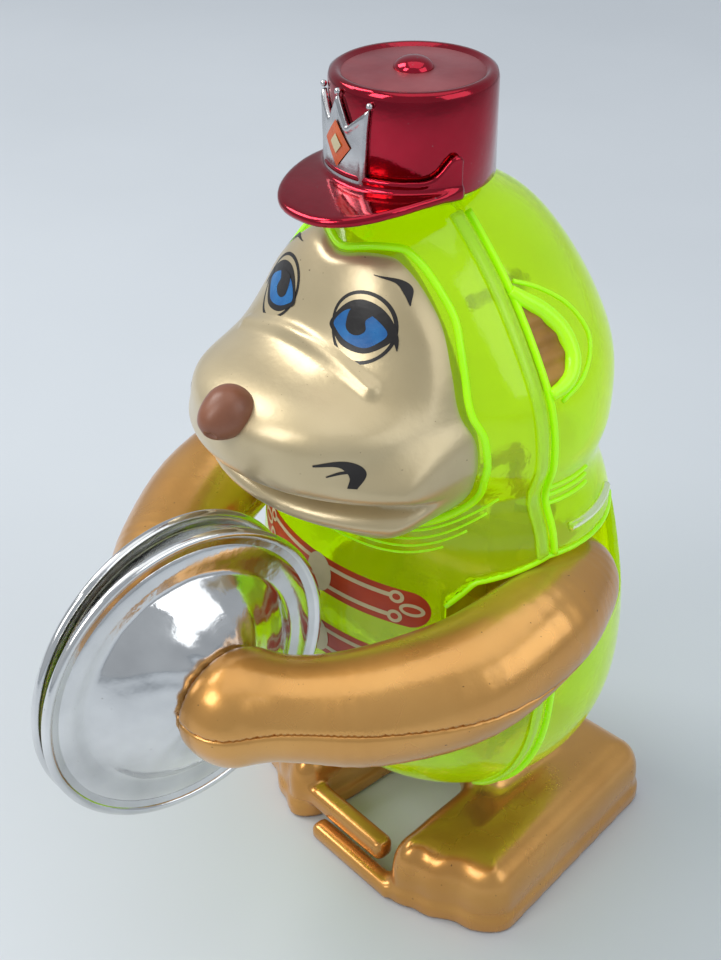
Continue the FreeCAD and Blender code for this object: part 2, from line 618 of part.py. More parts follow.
def cymbal_profile(radius, dome, deep, metal, rim):
    """Half section of the pressed disc: flange, dome and rolled rim."""
    sphere = (dome ** 2 + deep ** 2) / (2 * deep)
    points = [vec(radius, 0, 0), vec(dome, 0, 0.5)]
    outer_arc = Part.Arc(vec(dome, 0, 0.5), vec(dome * 0.55, 0, 0.5 + deep - sphere
                         + math.sqrt(sphere ** 2 - (dome * 0.55) ** 2)), vec(0, 0, 0.5 + deep))
    inner_arc = Part.Arc(vec(dome, 0, 0.5 + metal), vec(dome * 0.55, 0, 0.5 + metal + deep - sphere
                         + math.sqrt(sphere ** 2 - (dome * 0.55) ** 2)), vec(0, 0, 0.5 + deep + metal))
    edges = [
        Part.LineSegment(points[0], points[1]).toShape(), outer_arc.toShape(),
        Part.LineSegment(vec(0, 0, 0.5 + deep), vec(0, 0, 0.5 + deep + metal)).toShape(), inner_arc.toShape(),
        Part.LineSegment(vec(dome, 0, 0.5 + metal), vec(radius, 0, metal)).toShape(),
        Part.LineSegment(vec(radius, 0, metal), points[0]).toShape()]
    face = Part.Face(Part.Wire(Part.__sortEdges__(edges)))
    disc = face.revolve(vec(0, 0, 0), vec(0, 0, 1), 360)
    bead = Part.makeTorus(radius, rim, vec(0, 0, metal / 2))
    return disc.fuse(bead)


def cymbal_shape(side, solid_depth=0.0):
    """The cymbal, or with a depth the solid room under its dome."""
    middle, outward = cymbal_place(side)
    if solid_depth:
        radius = value("cymbal_radius") + value("rim_radius") + 0.3
        room = Part.makeCylinder(radius, 7.0, vec(0, 0, -6.4))
        sphere = (value("dome_radius") ** 2 + solid_depth ** 2) / (2 * solid_depth) + 0.5
        ball = Part.makeSphere(sphere, vec(0, 0, 0.5 + solid_depth + 0.5 - sphere))
        cap = ball.common(Part.makeCylinder(value("dome_radius"), 20, vec(0, 0, 0.4)))
        return turn_to(room.fuse(cap), middle, outward)
    disc = cymbal_profile(value("cymbal_radius"), value("dome_radius"), value("dome_deep"),
                          value("cymbal_metal"), value("rim_radius"))
    disc = disc.cut(Part.makeCylinder(1.2, 30))
    return turn_to(disc, middle, outward)


def make_cymbals():
    for side, text in ((1, "left"), (-1, "right")):
        node(feature(text + "Cymbal", cymbal_shape(side)), text + "_cymbal")
        middle, outward = cymbal_place(side)
        top = value("dome_deep") + 0.5 + value("cymbal_metal")
        head = Part.makeCylinder(2.4, 0.7, vec(0, 0, value("dome_deep") + 0.5 - 0.9))
        shank = Part.makeCylinder(1.2, top - value("dome_deep") + 1.5, vec(0, 0, value("dome_deep")))
        rivet = head.fuse(shank)
        node(feature(text + "Rivet", turn_to(rivet, middle, outward)), text + "_cymbal_rivet")


# ---------------------------------------------------------------- feet


def foot_form(side, inset):
    """Foot block, wider and turned out at the toe; the inset gives its hollow."""
    seam = value("seam_y")
    points = [vec(x, y + seam, 0) for x, y in FOOT_CORNERS]
    face = Part.Face(Part.makePolygon(points + [points[0]]))
    if inset:
        face = face.makeOffset2D(-inset)
    block = face.extrude(vec(0, 0, value("foot_tall") - inset))
    block = block.makeFillet(2.8, [edge for edge in block.Edges if edge.BoundBox.ZLength > 5])
    top = [edge for edge in block.Edges if edge.BoundBox.ZMin > value("foot_tall") - inset - 0.1]
    return mirrored(block.makeFillet(1.6, top), side)


def mirrored(shape, side):
    return shape if side > 0 else shape.mirror(vec(0, 0, 0), vec(1, 0, 0))


def make_foot(side, text):
    """Hollow shoe with a bar that reaches in front of the other foot, a leg block and a crank link."""
    seam = value("seam_y")
    shell = foot_form(side, 0).cut(foot_form(side, value("foot_wall")))
    front = seam + value("foot_front_y")
    stroke = value("foot_stroke")
    if side > 0:
        bar = Part.makeBox(24.0, value("bar_deep"), value("bar_low_tall"), vec(-8.6, front - 1.4, 0))
    else:
        low = value("bar_low_tall") + 0.5
        bar = Part.makeBox(22.0, value("bar_deep"), value("bar_high_tall") - low,
                           vec(-9.0, front + 1.4, low))
    bar = mirrored(bar, side)
    leg_outer = Part.makeBox(value("leg_wide"), value("leg_long"), value("leg_top") - value("foot_tall") + 3,
                             vec(value("leg_x"), seam + value("leg_y"), value("foot_tall") - 3))
    link_room = Part.makeBox(value("link_thick"), value("leg_long") - 1.0, 60,
                             vec(value("link_x"), seam + value("leg_y") + 0.5, 12.6))
    shoe = shell.fuse(bar).fuse(mirrored(leg_outer, side)).cut(mirrored(link_room, side))
    node(feature(text + "Shoe", shoe), text + "_shoe")
    window = 2 * stroke + 1.1
    link = Part.makeBox(value("link_thick"), value("leg_long") - 1.0, 24.0,
                        vec(value("link_x"), seam + value("leg_y") + 0.5, 12.6))
    hole = Part.makeBox(value("link_thick") + 2, 2 * window, 10.0,
                        vec(value("link_x") - 1, value("crank_y") + seam - window, value("crank_z") - 5.0))
    node(feature(text + "Link", mirrored(link.cut(hole), side)), text + "_leg_link")


def build():
    make_shells()
    make_face()
    make_ears()
    make_hat()
    make_shell_screws()
    places = shaft_places()
    make_gears(places)
    make_shafts(places)
    make_crankshaft(places)
    make_mainspring(places)
    make_frame(places)
    make_rocker()
    make_cymbals()
    for side, text in ((1, "left"), (-1, "right")):
        make_arm(side, text)
        make_foot(side, text)
    doc.recompute()


def check():
    """Stop before writing anything if an object failed or a sub-part is unsound."""
    for thing in doc.Objects:
        if "Invalid" in thing.State or "Error" in thing.State:
            raise RuntimeError(f"{thing.Label} failed: {thing.State}")
    for thing in nodes:
        if thing.Shape.isNull() or not thing.Shape.isValid():
            raise RuntimeError(f"{thing.Label} has an unsound shape")


def write():
    os.makedirs("parts", exist_ok=True)
    for thing in nodes:
        thing.Shape.exportStep(f"parts/{thing.Label}.step")


build()
check()
write()
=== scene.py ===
"""Looks of a wind-up toy monkey that claps a pair of tin cymbals."""
import math

import bpy
import numpy as np
from mathutils import Matrix, Vector
from mathutils.geometry import delaunay_2d_cdt


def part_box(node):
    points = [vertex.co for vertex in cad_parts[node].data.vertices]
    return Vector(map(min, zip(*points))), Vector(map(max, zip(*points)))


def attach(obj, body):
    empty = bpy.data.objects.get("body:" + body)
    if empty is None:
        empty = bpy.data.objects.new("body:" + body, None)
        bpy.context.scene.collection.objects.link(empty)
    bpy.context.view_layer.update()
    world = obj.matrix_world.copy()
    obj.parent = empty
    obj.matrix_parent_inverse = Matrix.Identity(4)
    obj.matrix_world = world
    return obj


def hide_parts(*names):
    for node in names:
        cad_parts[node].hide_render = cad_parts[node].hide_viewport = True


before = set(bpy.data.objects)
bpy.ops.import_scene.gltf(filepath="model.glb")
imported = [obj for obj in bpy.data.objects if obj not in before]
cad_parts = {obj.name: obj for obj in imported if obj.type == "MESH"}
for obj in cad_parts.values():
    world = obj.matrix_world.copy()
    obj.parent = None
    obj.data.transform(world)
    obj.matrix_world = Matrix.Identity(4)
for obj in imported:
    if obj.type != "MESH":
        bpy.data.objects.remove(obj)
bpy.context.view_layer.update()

# Points are in mm, with y measured from the seam of the two shells; piece() turns them into metres.
MM = 0.001
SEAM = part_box("rear_shell")[0].y / MM
SIDES = ((1, "left"), (-1, "right"))


def span(node):
    """Lowest and highest corner of a CAD node, in mm, with y measured from the seam."""
    low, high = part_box(node)
    shift = np.array((0, SEAM, 0))
    return np.array(low) / MM - shift, np.array(high) / MM - shift


# ------------------------ curves and fields

SMOOTHINGS = 2          # rounds of smoothing on each surface made from a field


def spline(points, steps):
    """Smooth curve through the points."""
    points = np.array(points, float)
    padded = np.vstack([2 * points[0] - points[1], points, 2 * points[-1] - points[-2]])
    rows = []
    for index in range(1, len(padded) - 2):
        a, b, c, d = padded[index - 1:index + 3]
        for step in range(steps):
            t = step / steps
            rows.append(0.5 * (2 * b + (c - a) * t + (2 * a - 5 * b + 4 * c - d) * t ** 2
                               + (3 * b - a - 3 * c + d) * t ** 3))
    rows.append(points[-1])
    return np.array(rows)


def closed_spline(points, steps=8):
    """Smooth closed curve through the points."""
    points = list(points)
    longer = spline(points[-1:] + points + points[:2], steps)
    return longer[steps:-steps - 1]


def ellipsoid(points, centre, sizes):
    """Signed distance from an ellipsoid, near enough; negative inside, as for every field."""
    scaled = (points - np.array(centre)) / np.array(sizes)
    near = np.linalg.norm(scaled, axis=1)
    slope = np.linalg.norm(scaled / np.array(sizes), axis=1)
    return near * (near - 1) / np.maximum(slope, 1e-9)


def join(first, second, soft):
    """Union of two fields with a fillet."""
    share = np.clip(0.5 + 0.5 * (second - first) / soft, 0, 1)
    return second + (first - second) * share - soft * share * (1 - share)


def common(first, second, soft):
    """What two fields share, with a rounded edge."""
    return -join(-first, -second, soft)


def without(first, second, soft):
    """The first field with the second taken out of it."""
    return common(first, -second, soft)


def box_field(points, low, high, rounding):
    """Signed distance from a box with rounded edges."""
    low, high = np.array(low, float), np.array(high, float)
    away = np.abs(points - (low + high) / 2) - (high - low) / 2 + rounding
    outside = np.linalg.norm(np.maximum(away, 0), axis=1)
    return outside + np.minimum(away.max(axis=1), 0) - rounding


def polygon_field(flat, corners):
    """Signed distance in a plane from a closed outline."""
    corners = np.array(corners, float)
    nearest = np.full(len(flat), 1e9)
    inside = np.zeros(len(flat), bool)
    for a, b in zip(corners, np.roll(corners, -1, axis=0)):
        edge = b - a
        offset = flat - a
        along = np.clip(offset @ edge / (edge @ edge), 0, 1)
        nearest = np.minimum(nearest, np.linalg.norm(offset - along[:, None] * edge, axis=1))
        crosses = (a[1] > flat[:, 1]) != (b[1] > flat[:, 1])
        where = a[0] + (flat[:, 1] - a[1]) * edge[0] / (edge[1] if edge[1] else 1e-9)
        inside ^= crosses & (flat[:, 0] < where)
    return np.where(inside, -nearest, nearest)


def thread_field(points, line, radii):
    """Distance from a tube whose radius changes along its centre line."""
    best = np.full(len(points), 1e9)
    for a, b, ra, rb in zip(line[:-1], line[1:], radii[:-1], radii[1:]):
        edge = b - a
        along = np.clip((points - a) @ edge / (edge @ edge), 0, 1)
        gap = np.linalg.norm(points - a - along[:, None] * edge, axis=1)
        best = np.minimum(best, gap - (ra + (rb - ra) * along))
    return best


def settle(field, spots, reach):
    """Pull points onto the zero level of a field."""
    small = 0.02
    value = field(spots)
    slope = np.empty_like(spots)
    for axis in range(3):
        shift = np.zeros(3)
        shift[axis] = small
        slope[:, axis] = (field(spots + shift) - field(spots - shift)) / (2 * small)
    steep = np.maximum((slope ** 2).sum(axis=1), 0.05)
    move = -value[:, None] * slope / steep[:, None]
    length = np.linalg.norm(move, axis=1)[:, None]
    return spots + move * np.minimum(1, reach / np.maximum(length, 1e-9))


def surface(field, low, high, cell):
    """Smooth quad mesh of the zero level of a field inside a box."""
    low, high = np.array(low, float), np.array(high, float)
    counts = np.ceil((high - low) / cell).astype(int) + 1
    steps = [low[axis] + cell * np.arange(counts[axis]) for axis in range(3)]
    grid = np.stack(np.meshgrid(*steps, indexing="ij"), axis=-1).reshape(-1, 3)
    values = field(grid).reshape(counts)
    quads, owners, spots = [], [], []
    for axis in range(3):
        u, v = (axis + 1) % 3, (axis + 2) % 3
        first = np.take(values, np.arange(counts[axis] - 1), axis)
        second = np.take(values, np.arange(1, counts[axis]), axis)
        edge = np.argwhere((first < 0) != (second < 0))
        within = (edge[:, u] > 0) & (edge[:, v] > 0)
        within &= (edge[:, u] < counts[u] - 1) & (edge[:, v] < counts[v] - 1)
        edge = edge[within]
        a, b = first[tuple(edge.T)], second[tuple(edge.T)]
        place = low + cell * edge.astype(float)
        place[:, axis] += cell * a / (a - b)
        corners = []
        for du, dv in ((0, 0), (-1, 0), (-1, -1), (0, -1)):
            cube = edge.copy()
            cube[:, u] += du
            cube[:, v] += dv
            corners.append(np.ravel_multi_index(tuple(cube.T), tuple(counts - 1)))
            spots.append(place)
        quad = np.stack(corners, axis=1)
        quad[a >= 0] = quad[a >= 0][:, ::-1]
        quads.append(quad)
        owners.extend(corners)
    quads, owners, spots = np.concatenate(quads), np.concatenate(owners), np.concatenate(spots)
    names, inverse = np.unique(owners, return_inverse=True)
    share = np.bincount(inverse)
    verts = np.stack([np.bincount(inverse, spots[:, axis]) / share for axis in range(3)], axis=1)
    faces = np.searchsorted(names, quads)
    pairs = np.concatenate([faces[:, [0, 1]], faces[:, [1, 2]], faces[:, [2, 3]], faces[:, [3, 0]]])
    here, there = pairs[:, 0], pairs[:, 1]
    valence = np.bincount(here, minlength=len(verts))
    for _ in range(SMOOTHINGS):
        total = np.stack([np.bincount(here, verts[there, axis], len(verts)) for axis in range(3)], axis=1)
        verts = 0.5 * verts + 0.5 * total / np.maximum(valence, 1)[:, None]
        verts = settle(field, verts, cell)
    return verts, faces


def front_of(field, across, heights):
    """Depth where a line from the front first meets a field, for each x and z."""
    start, last, touching = -60.0, -3.0, 0.004
    near = np.full(len(across), start)
    for _ in range(400):
        value = field(np.stack([across, near, heights], axis=1))
        apart = value > touching
        near = np.where(apart & (near < last), near + np.maximum(0.6 * value, 0.003), near)
        if not apart.any():
            break
    return near


# ------------------------ pieces


def piece(name, verts, faces, look, body="body", stands_for=(), slot=None):
    """Mesh object of one material, from points measured from the seam, riding on its CAD body."""
    mesh = bpy.data.meshes.new(name)
    placed = (np.array(verts, float) + (0, SEAM, 0)) * MM
    mesh.from_pydata(placed.tolist(), [], [list(map(int, face)) for face in faces])
    mesh.validate()
    mesh.update()
    mesh.shade_smooth()
    made = bpy.data.objects.new(name, mesh)
    bpy.context.scene.collection.objects.link(made)
    made.data.materials.append(LOOK[look])
    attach(made, body)
    if stands_for:
        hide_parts(*stands_for)
    return made


def sharpen(made, angle):
    """Keep edges crisp where faces turn by more than the angle."""
    made.data.set_sharp_from_angle(angle=math.radians(angle))


def lathe(profile, count=120, wobble=None):
    """Solid of revolution about Z from (radius, height) pairs; radius 0 closes an end.

    The wobble is a factor on the radius, worked out from the turn and the radius.
    """
    turns = np.arange(count) * 2 * math.pi / count
    verts, rings = [], []
    for radius, height in profile:
        if radius <= 1e-6:
            rings.append([len(verts)])
            verts.append((0, 0, height))
            continue
        rings.append(list(range(len(verts), len(verts) + count)))
        for turn in turns:
            r = radius * (wobble(turn, radius) if wobble else 1)
            verts.append((r * math.cos(turn), r * math.sin(turn), height))
    faces = []
    for lower, upper in zip(rings[:-1], rings[1:]):
        for index in range(count):
            after = (index + 1) % count
            if len(lower) == 1 and len(upper) > 1:
                faces.append((lower[0], upper[after], upper[index]))
            elif len(upper) == 1 and len(lower) > 1:
                faces.append((lower[index], lower[after], upper[0]))
            elif len(lower) > 1:
                faces.append((lower[index], lower[after], upper[after], upper[index]))
    return np.array(verts, float), faces


def skin(rings, sides, closed=False):
    """Faces over rings of points that follow each other along a line."""
    faces = []
    for index in range(rings if closed else rings - 1):
        here, there = index * sides, (index + 1) % rings * sides
        for step in range(sides):
            after = (step + 1) % sides
            faces.append((here + step, there + step, there + after, here + after))
    if not closed:
        last = (rings - 1) * sides
        faces.append(tuple(range(sides)))
        faces.append(tuple(range(last + sides - 1, last - 1, -1)))
    return faces


def tube(name, line, radius, look, sides=10, closed=False, inward=False, **links):
    """Round strand along a line, as a piece; radius is a number or one per point.

    An inward strand has its faces turned in, so that clear plastic shines as if it were silvered.
    """
    line = np.array(line, float)
    radii = np.broadcast_to(np.array(radius, float), len(line))
    if closed:
        ahead = np.roll(line, -1, axis=0) - np.roll(line, 1, axis=0)
    else:
        ahead = np.gradient(line, axis=0)
    ahead /= np.maximum(np.linalg.norm(ahead, axis=1)[:, None], 1e-9)
    nearly_back = np.array((0.0, 1.0, 0.02))
    side = np.cross(ahead, nearly_back)
    side /= np.maximum(np.linalg.norm(side, axis=1)[:, None], 1e-6)
    lift = np.cross(side, ahead)
    verts = []
    for spot, wide, across, up in zip(line, radii, side, lift):
        for step in range(sides):
            turn = 2 * math.pi * step / sides
            verts.append(spot + wide * (math.cos(turn) * across + math.sin(turn) * up))
    faces = skin(len(line), sides, closed)
    if inward:
        faces = [face[::-1] for face in faces]
    piece(name, verts, faces, look, **links)


def stroke(points, widths):
    """Outline in a plane of a brush stroke whose width changes along a curve."""
    steps = 8
    line = spline(points, steps)
    wide = spline([(w, 0) for w in widths], steps)[:, 0] / 2
    ahead = np.gradient(line, axis=0)
    ahead /= np.maximum(np.linalg.norm(ahead, axis=1)[:, None], 1e-9)
    side = np.stack([-ahead[:, 1], ahead[:, 0]], axis=1)
    return np.vstack([line + side * wide[:, None], (line - side * wide[:, None])[::-1]])


def oval(x, z, half_wide, half_tall, count=48):
    """Outline of an upright oval round x and z."""
    turns = np.arange(count) * 2 * math.pi / count
    flat = np.stack([half_wide * np.cos(turns), half_tall * np.sin(turns)], axis=1)
    return flat + (x, z)


def decal(name, outline, field, lift, look, pitch):
    """Printed patch: an outline in x and z laid onto the front of a field, lifted off it a little."""
    outline = np.array(outline, float)
    low, high = outline.min(axis=0), outline.max(axis=0)
    across, up = np.meshgrid(np.arange(low[0], high[0], pitch), np.arange(low[1], high[1], pitch))
    inner = np.stack([across.ravel(), up.ravel()], axis=1)
    inner = inner[polygon_field(inner, outline) < -0.3 * pitch]
    flat = [Vector(spot) for spot in np.vstack([outline, inner])]
    inside_only, merge = 1, 1e-5
    made = delaunay_2d_cdt(flat, [], [list(range(len(outline)))], inside_only, merge)
    flat, faces = np.array([tuple(spot) for spot in made[0]]), made[2]
    depth = front_of(field, flat[:, 0], flat[:, 1]) - lift
    verts = np.stack([flat[:, 0], depth, flat[:, 1]], axis=1)
    a, b, c = verts[faces[0]]
    if np.cross(b - a, c - a)[1] > 0:
        faces = [face[::-1] for face in faces]
    piece(name, verts, faces, look)


# ------------------------ materials


class Graph:
    """Small helper around a material's node tree."""

    def __init__(self, name):
        self.material = bpy.data.materials.new(name)
        self.material.use_nodes = True
        self.tree = self.material.node_tree
        self.shader = self.tree.nodes["Principled BSDF"]
        self.place = self.add("ShaderNodeTexCoord").outputs["Object"]

    def add(self, kind, **settings):
        made = self.tree.nodes.new(kind)
        for key, value in settings.items():
            setattr(made, key, value)
        return made

    def join(self, source, target):
        self.tree.links.new(source, target)

    def noise(self, scale, detail=4.0):
        made = self.add("ShaderNodeTexNoise")
        made.inputs["Scale"].default_value = scale
        made.inputs["Detail"].default_value = detail
        self.join(self.place, made.inputs["Vector"])
        return made.outputs["Fac"]

    def ramp(self, source, stops):
        """Colour ramp through (place, colour) stops; a colour of one number is a grey."""
        made = self.add("ShaderNodeValToRGB")
        band = made.color_ramp
        while len(band.elements) < len(stops):
            band.elements.new(0.5)
        for element, (where, colour) in zip(band.elements, stops):
            element.position = where
            element.color = (*colour, 1) if len(colour) == 3 else (colour[0],) * 3 + (1,)
        self.join(source, made.inputs["Fac"])
        return made.outputs["Color"]

    def bump(self, source, depth, earlier=None):
        made = self.add("ShaderNodeBump")
        made.inputs["Strength"].default_value = 1.0
        made.inputs["Distance"].default_value = depth
        self.join(source, made.inputs["Height"])
        if earlier:
            self.join(earlier, made.inputs["Normal"])
        return made.outputs["Normal"]


def finish(name, dark, light, rough=(0.3, 0.45), metal=0.0, patch=90.0, grain=900.0, depth=0.00003,
           dust=None, **extra):
    """Material with two mottled tones, varied gloss, a fine surface grain and, if asked, dust specks.

    Patch and grain are scales of noise, and depth is the height of the grain in metres.
    """
    graph = Graph(name)
    colour = graph.ramp(graph.noise(patch), ((0.3, dark), (0.7, light)))
    if dust:
        amount, tone = dust
        fine, soft_edge = 1500.0, 0.04
        specks = graph.ramp(graph.noise(fine, 2.0), ((amount, (0.0,)), (amount + soft_edge, (1.0,))))
        mix = graph.add("ShaderNodeMix", data_type="RGBA")
        graph.join(specks, mix.inputs["Factor"])
        graph.join(colour, mix.inputs["A"])
        mix.inputs["B"].default_value = (*tone, 1)
        colour = mix.outputs["Result"]
    graph.join(colour, graph.shader.inputs["Base Color"])
    gloss = graph.ramp(graph.noise(patch * 2.5), ((0.3, (rough[0],)), (0.7, (rough[1],))))
    graph.join(gloss, graph.shader.inputs["Roughness"])
    normal = graph.bump(graph.noise(grain, 3.0), depth)
    normal = graph.bump(graph.noise(patch), depth * 4, normal)
    graph.join(normal, graph.shader.inputs["Normal"])
    graph.shader.inputs["Metallic"].default_value = metal
    for key, value in extra.items():
        graph.shader.inputs[key.replace("_", " ")].default_value = value
    return graph.material


def make_finishes():
    """Every material of the toy, by a short name."""
    return {
        "shell": finish(
            "neon_green_plastic_painted_glow", (0.58, 0.78, 0.0), (0.74, 0.93, 0.002), (0.04, 0.12), patch=40.0,
            dust=(0.76, (0.2, 0.22, 0.02)), Transmission_Weight=0.86, IOR=1.46,
            # the emission is painted glow: the fluorescent shell is made to give off light of its own
            Emission_Color=(0.62, 0.95, 0.0, 1.0), Emission_Strength=0.1),
        # bright strips on real ridges and shell edges: their saturated colour and emission are painted
        # glow of the fluorescent plastic's edges
        "edge": finish(
            "neon_green_edge_painted_glow", (0.36, 0.90, 0.0), (0.52, 1.0, 0.01), (0.2, 0.3), patch=60.0,
            Emission_Color=(0.35, 1.0, 0.0, 1.0), Emission_Strength=0.2, Subsurface_Weight=0.2,
            Subsurface_Scale=0.002),
        "rim": finish(
            "pale_green_plastic_painted_glow", (0.56, 0.80, 0.06), (0.70, 0.90, 0.12), (0.1, 0.2), patch=50.0,
            dust=(0.75, (0.2, 0.2, 0.05)), Transmission_Weight=0.7, IOR=1.46,
            # the emission is painted glow of the fluorescent plastic
            Emission_Color=(0.6, 0.95, 0.05, 1.0), Emission_Strength=0.1),
        "amber": finish(
            "amber_inside", (0.30, 0.13, 0.015), (0.55, 0.28, 0.04), (0.35, 0.5), patch=150.0),
        "pearl": finish(
            "pearl_beige", (0.52, 0.41, 0.22), (0.68, 0.56, 0.34), (0.28, 0.38), metal=0.5, patch=35.0,
            dust=(0.74, (0.2, 0.13, 0.07)), Coat_Weight=0.5, Coat_Roughness=0.18, Sheen_Weight=0.15),
        "gold": finish(
            "gold_pearl_plastic", (0.58, 0.26, 0.05), (0.76, 0.40, 0.11), (0.24, 0.34), metal=0.72,
            patch=30.0, dust=(0.74, (0.16, 0.07, 0.02)), Coat_Weight=0.5, Coat_Roughness=0.15),
        "red": finish(
            "red_metallised", (0.26, 0.002, 0.012), (0.46, 0.008, 0.03), (0.07, 0.16), metal=1.0,
            patch=60.0, dust=(0.75, (0.3, 0.2, 0.2)), Coat_Weight=0.4),
        "red_soft": finish(
            "red_soft_top", (0.25, 0.05, 0.06), (0.42, 0.12, 0.13), (0.35, 0.5), metal=0.5, patch=80.0),
        "silver": finish(
            "silver_plating", (0.42, 0.42, 0.43), (0.72, 0.72, 0.72), (0.16, 0.34), metal=1.0,
            patch=120.0),
        "tin": finish(
            "bright_tin", (0.60, 0.60, 0.60), (0.86, 0.86, 0.85), (0.07, 0.2), metal=1.0, patch=70.0,
            grain=420.0, depth=0.00005, dust=(0.76, (0.3, 0.27, 0.24))),
        "nose": finish("brown_paint", (0.20, 0.07, 0.035), (0.30, 0.12, 0.065), patch=140.0),
        "black": finish("black_print", (0.006, 0.005, 0.005), (0.02, 0.016, 0.014), (0.3, 0.42)),
        "blue": finish("blue_print", (0.01, 0.10, 0.32), (0.02, 0.18, 0.46), (0.25, 0.4), patch=300.0),
        "band": finish("red_print", (0.36, 0.03, 0.004), (0.48, 0.055, 0.01), patch=200.0),
        "cream": finish(
            "cream_print", (0.50, 0.46, 0.26), (0.62, 0.56, 0.34), (0.35, 0.5), patch=200.0),
        "orange": finish(
            "orange_enamel", (0.50, 0.07, 0.01), (0.68, 0.13, 0.02), (0.2, 0.35), patch=250.0),
        "brass": finish(
            "brass", (0.55, 0.36, 0.10), (0.78, 0.56, 0.22), (0.2, 0.38), metal=1.0, patch=160.0),
        "steel": finish(
            "steel", (0.32, 0.32, 0.33), (0.55, 0.55, 0.56), (0.22, 0.4), metal=1.0, patch=160.0),
        "white": finish("white_plastic", (0.62, 0.60, 0.55), (0.78, 0.76, 0.7), patch=120.0),
        "floor": finish(
            "pale_floor", (0.60, 0.64, 0.68), (0.64, 0.68, 0.72), (0.5, 0.6), patch=6.0, grain=300.0,
            depth=0.00001),
    }


LOOK = make_finishes()
AMBER_WORDS = ("motor_plate", "bridge", "hub", "lever", "leg_link", "rocker")


def dress_cad_nodes():
    """Give each CAD node that stays in view a material."""
    for name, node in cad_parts.items():
        if any(word in name for word in ("wheel", "pinion", "spring")):
            look = LOOK["brass"]
        elif any(word in name for word in AMBER_WORDS):
            look = LOOK["amber"]
        else:
            look = LOOK["steel"]
        node.data.materials.clear()
        node.data.materials.append(look)


# ------------------------ head and torso

# Level rings of head and torso: height, half width, front and rear from the seam.
RINGS = np.array((
    (22, 14, -4, 22), (24.5, 20.5, -10, 28), (29, 26.5, -15, 33), (37, 31.5, -19, 37),
    (48, 34.6, -21.3, 38.6), (62, 35.2, -21.6, 37.8), (76, 34, -20.4, 34.6), (88, 32.4, -18.6, 30.6),
    (94.5, 30.1, -17.6, 29.2), (101.5, 31.1, -20.5, 31.6), (110, 29.9, -21.5, 32.8),
    (118, 25.9, -20.5, 30.9), (126.6, 20, -17.2, 26.2), (133, 14.2, -13, 20.4), (138.2, 8.6, -6, 11.6)))
FORM = spline(RINGS, 10)
WALL = 1.7


def ring_at(z):
    """Half width, middle depth and half depth of the body at a height."""
    wide, front, rear = (np.interp(z, FORM[:, 0], FORM[:, k]) for k in (1, 2, 3))
    return wide, (front + rear) / 2, (rear - front) / 2


def ring_reach(x, y, z):
    """How far out a point is, as a share of its level ring."""
    wide, middle, deep = ring_at(z)
    return np.maximum(np.hypot(x / wide, (y - middle) / deep), 1e-6)


def body_field(points):
    """Outer form of head and torso."""
    x, y, z = points.T
    wide, middle, deep = ring_at(z)
    reach, small = ring_reach(x, y, z), 0.4
    climb = (ring_reach(x, y, z + small) - ring_reach(x, y, z - small)) / (2 * small)
    slope = np.sqrt((x / wide ** 2) ** 2 + ((y - middle) / deep ** 2) ** 2) / reach
    flat = (reach - 1) / np.maximum(np.hypot(slope, climb), 1e-3)
    ends = np.maximum(z - RINGS[-1, 0], RINGS[0, 0] - z)
    return common(flat, ends, 1.5)


SLOT_LOW, SLOT_HIGH, SLOT_FRONT, SLOT_REAR, SLOT_INNER = 65.4, 84.6, -13.5, 22.0, 21.5
LEG_OPENING = ((5.4, 4.7, 10), (17.9, 30.4, 35), 1.0)


def slot_top(y):
    """Height of the arm slot's upper border, which falls away toward the front."""
    return np.minimum(SLOT_HIGH + 0.35 * np.minimum(y, 0), 82.0 + 1.5 * (y + 9.6))


def openings(points):
    """Arm slots and leg openings of the shells."""
    mirrored = points * (np.sign(points[:, :1]) * (1, 0, 0) + (0, 1, 1))
    slot = box_field(mirrored, (SLOT_INNER, SLOT_FRONT, SLOT_LOW), (60, SLOT_REAR, SLOT_HIGH + 4), 2.0)
    slot = common(slot, (points[:, 2] - slot_top(points[:, 1])) / 1.4, 0.8)
    return np.minimum(slot, box_field(mirrored, *LEG_OPENING))


def shell_field(points):
    """Hollow wall of both shells with its openings."""
    outer = body_field(points)
    hollow = np.maximum(outer, -(outer + WALL))
    return without(hollow, openings(points), 0.5)


def make_shells():
    """Front and rear shell, cut apart at the seam."""
    reach, half_gap = RINGS[:, 1].max() + 3, 0.12
    for name, sign in (("front_shell", -1), ("rear_shell", 1)):
        def half(points):
            return common(shell_field(points), half_gap - sign * points[:, 1], 0.3)
        low = (-reach, RINGS[:, 2].min() - 3 if sign < 0 else -2, RINGS[0, 0] - 2)
        high = (reach, 2 if sign < 0 else RINGS[:, 3].max() + 3, RINGS[-1, 0] + 2)
        verts, faces = surface(half, low, high, 0.85)
        piece(name + "_moulding", verts, faces, "shell", stands_for=(name,), slot="clear_shell")


def side_points(y, z):
    """Points on the left side of the body's rings, at given depths and heights."""
    wide, middle, deep = ring_at(z)
    return np.stack([wide * np.sqrt(np.maximum(1 - ((y - middle) / deep) ** 2, 0)), y, z], axis=1)


def outward(line):
    """Normals, pointing away from the body, of a line that rises in a plane of constant y."""
    away = np.stack([np.gradient(line[:, 2]), np.zeros(len(line)), -np.gradient(line[:, 0])], axis=1)
    return away / np.linalg.norm(away, axis=1)[:, None]


def seam_strip(y, low, high, half_deep, out):
    """Rounded strip along the outside of the body at depth y, between two heights."""
    proud, count, sides = 0.15, 90, 14
    line = side_points(np.full(count, y), np.linspace(low, high, count))
    line += outward(line) * proud
    verts = []
    for spot, normal in zip(line, outward(line)):
        for turn in np.linspace(0, 2 * math.pi, sides, endpoint=False):
            lift = math.copysign(abs(math.sin(turn)) ** 0.5, math.sin(turn)) * out * 0.6
            shift = math.copysign(abs(math.cos(turn)) ** 0.5, math.cos(turn)) * half_deep
            verts.append(spot + normal * lift + np.array((0, shift, 0)))
    return np.array(verts), skin(count, sides)


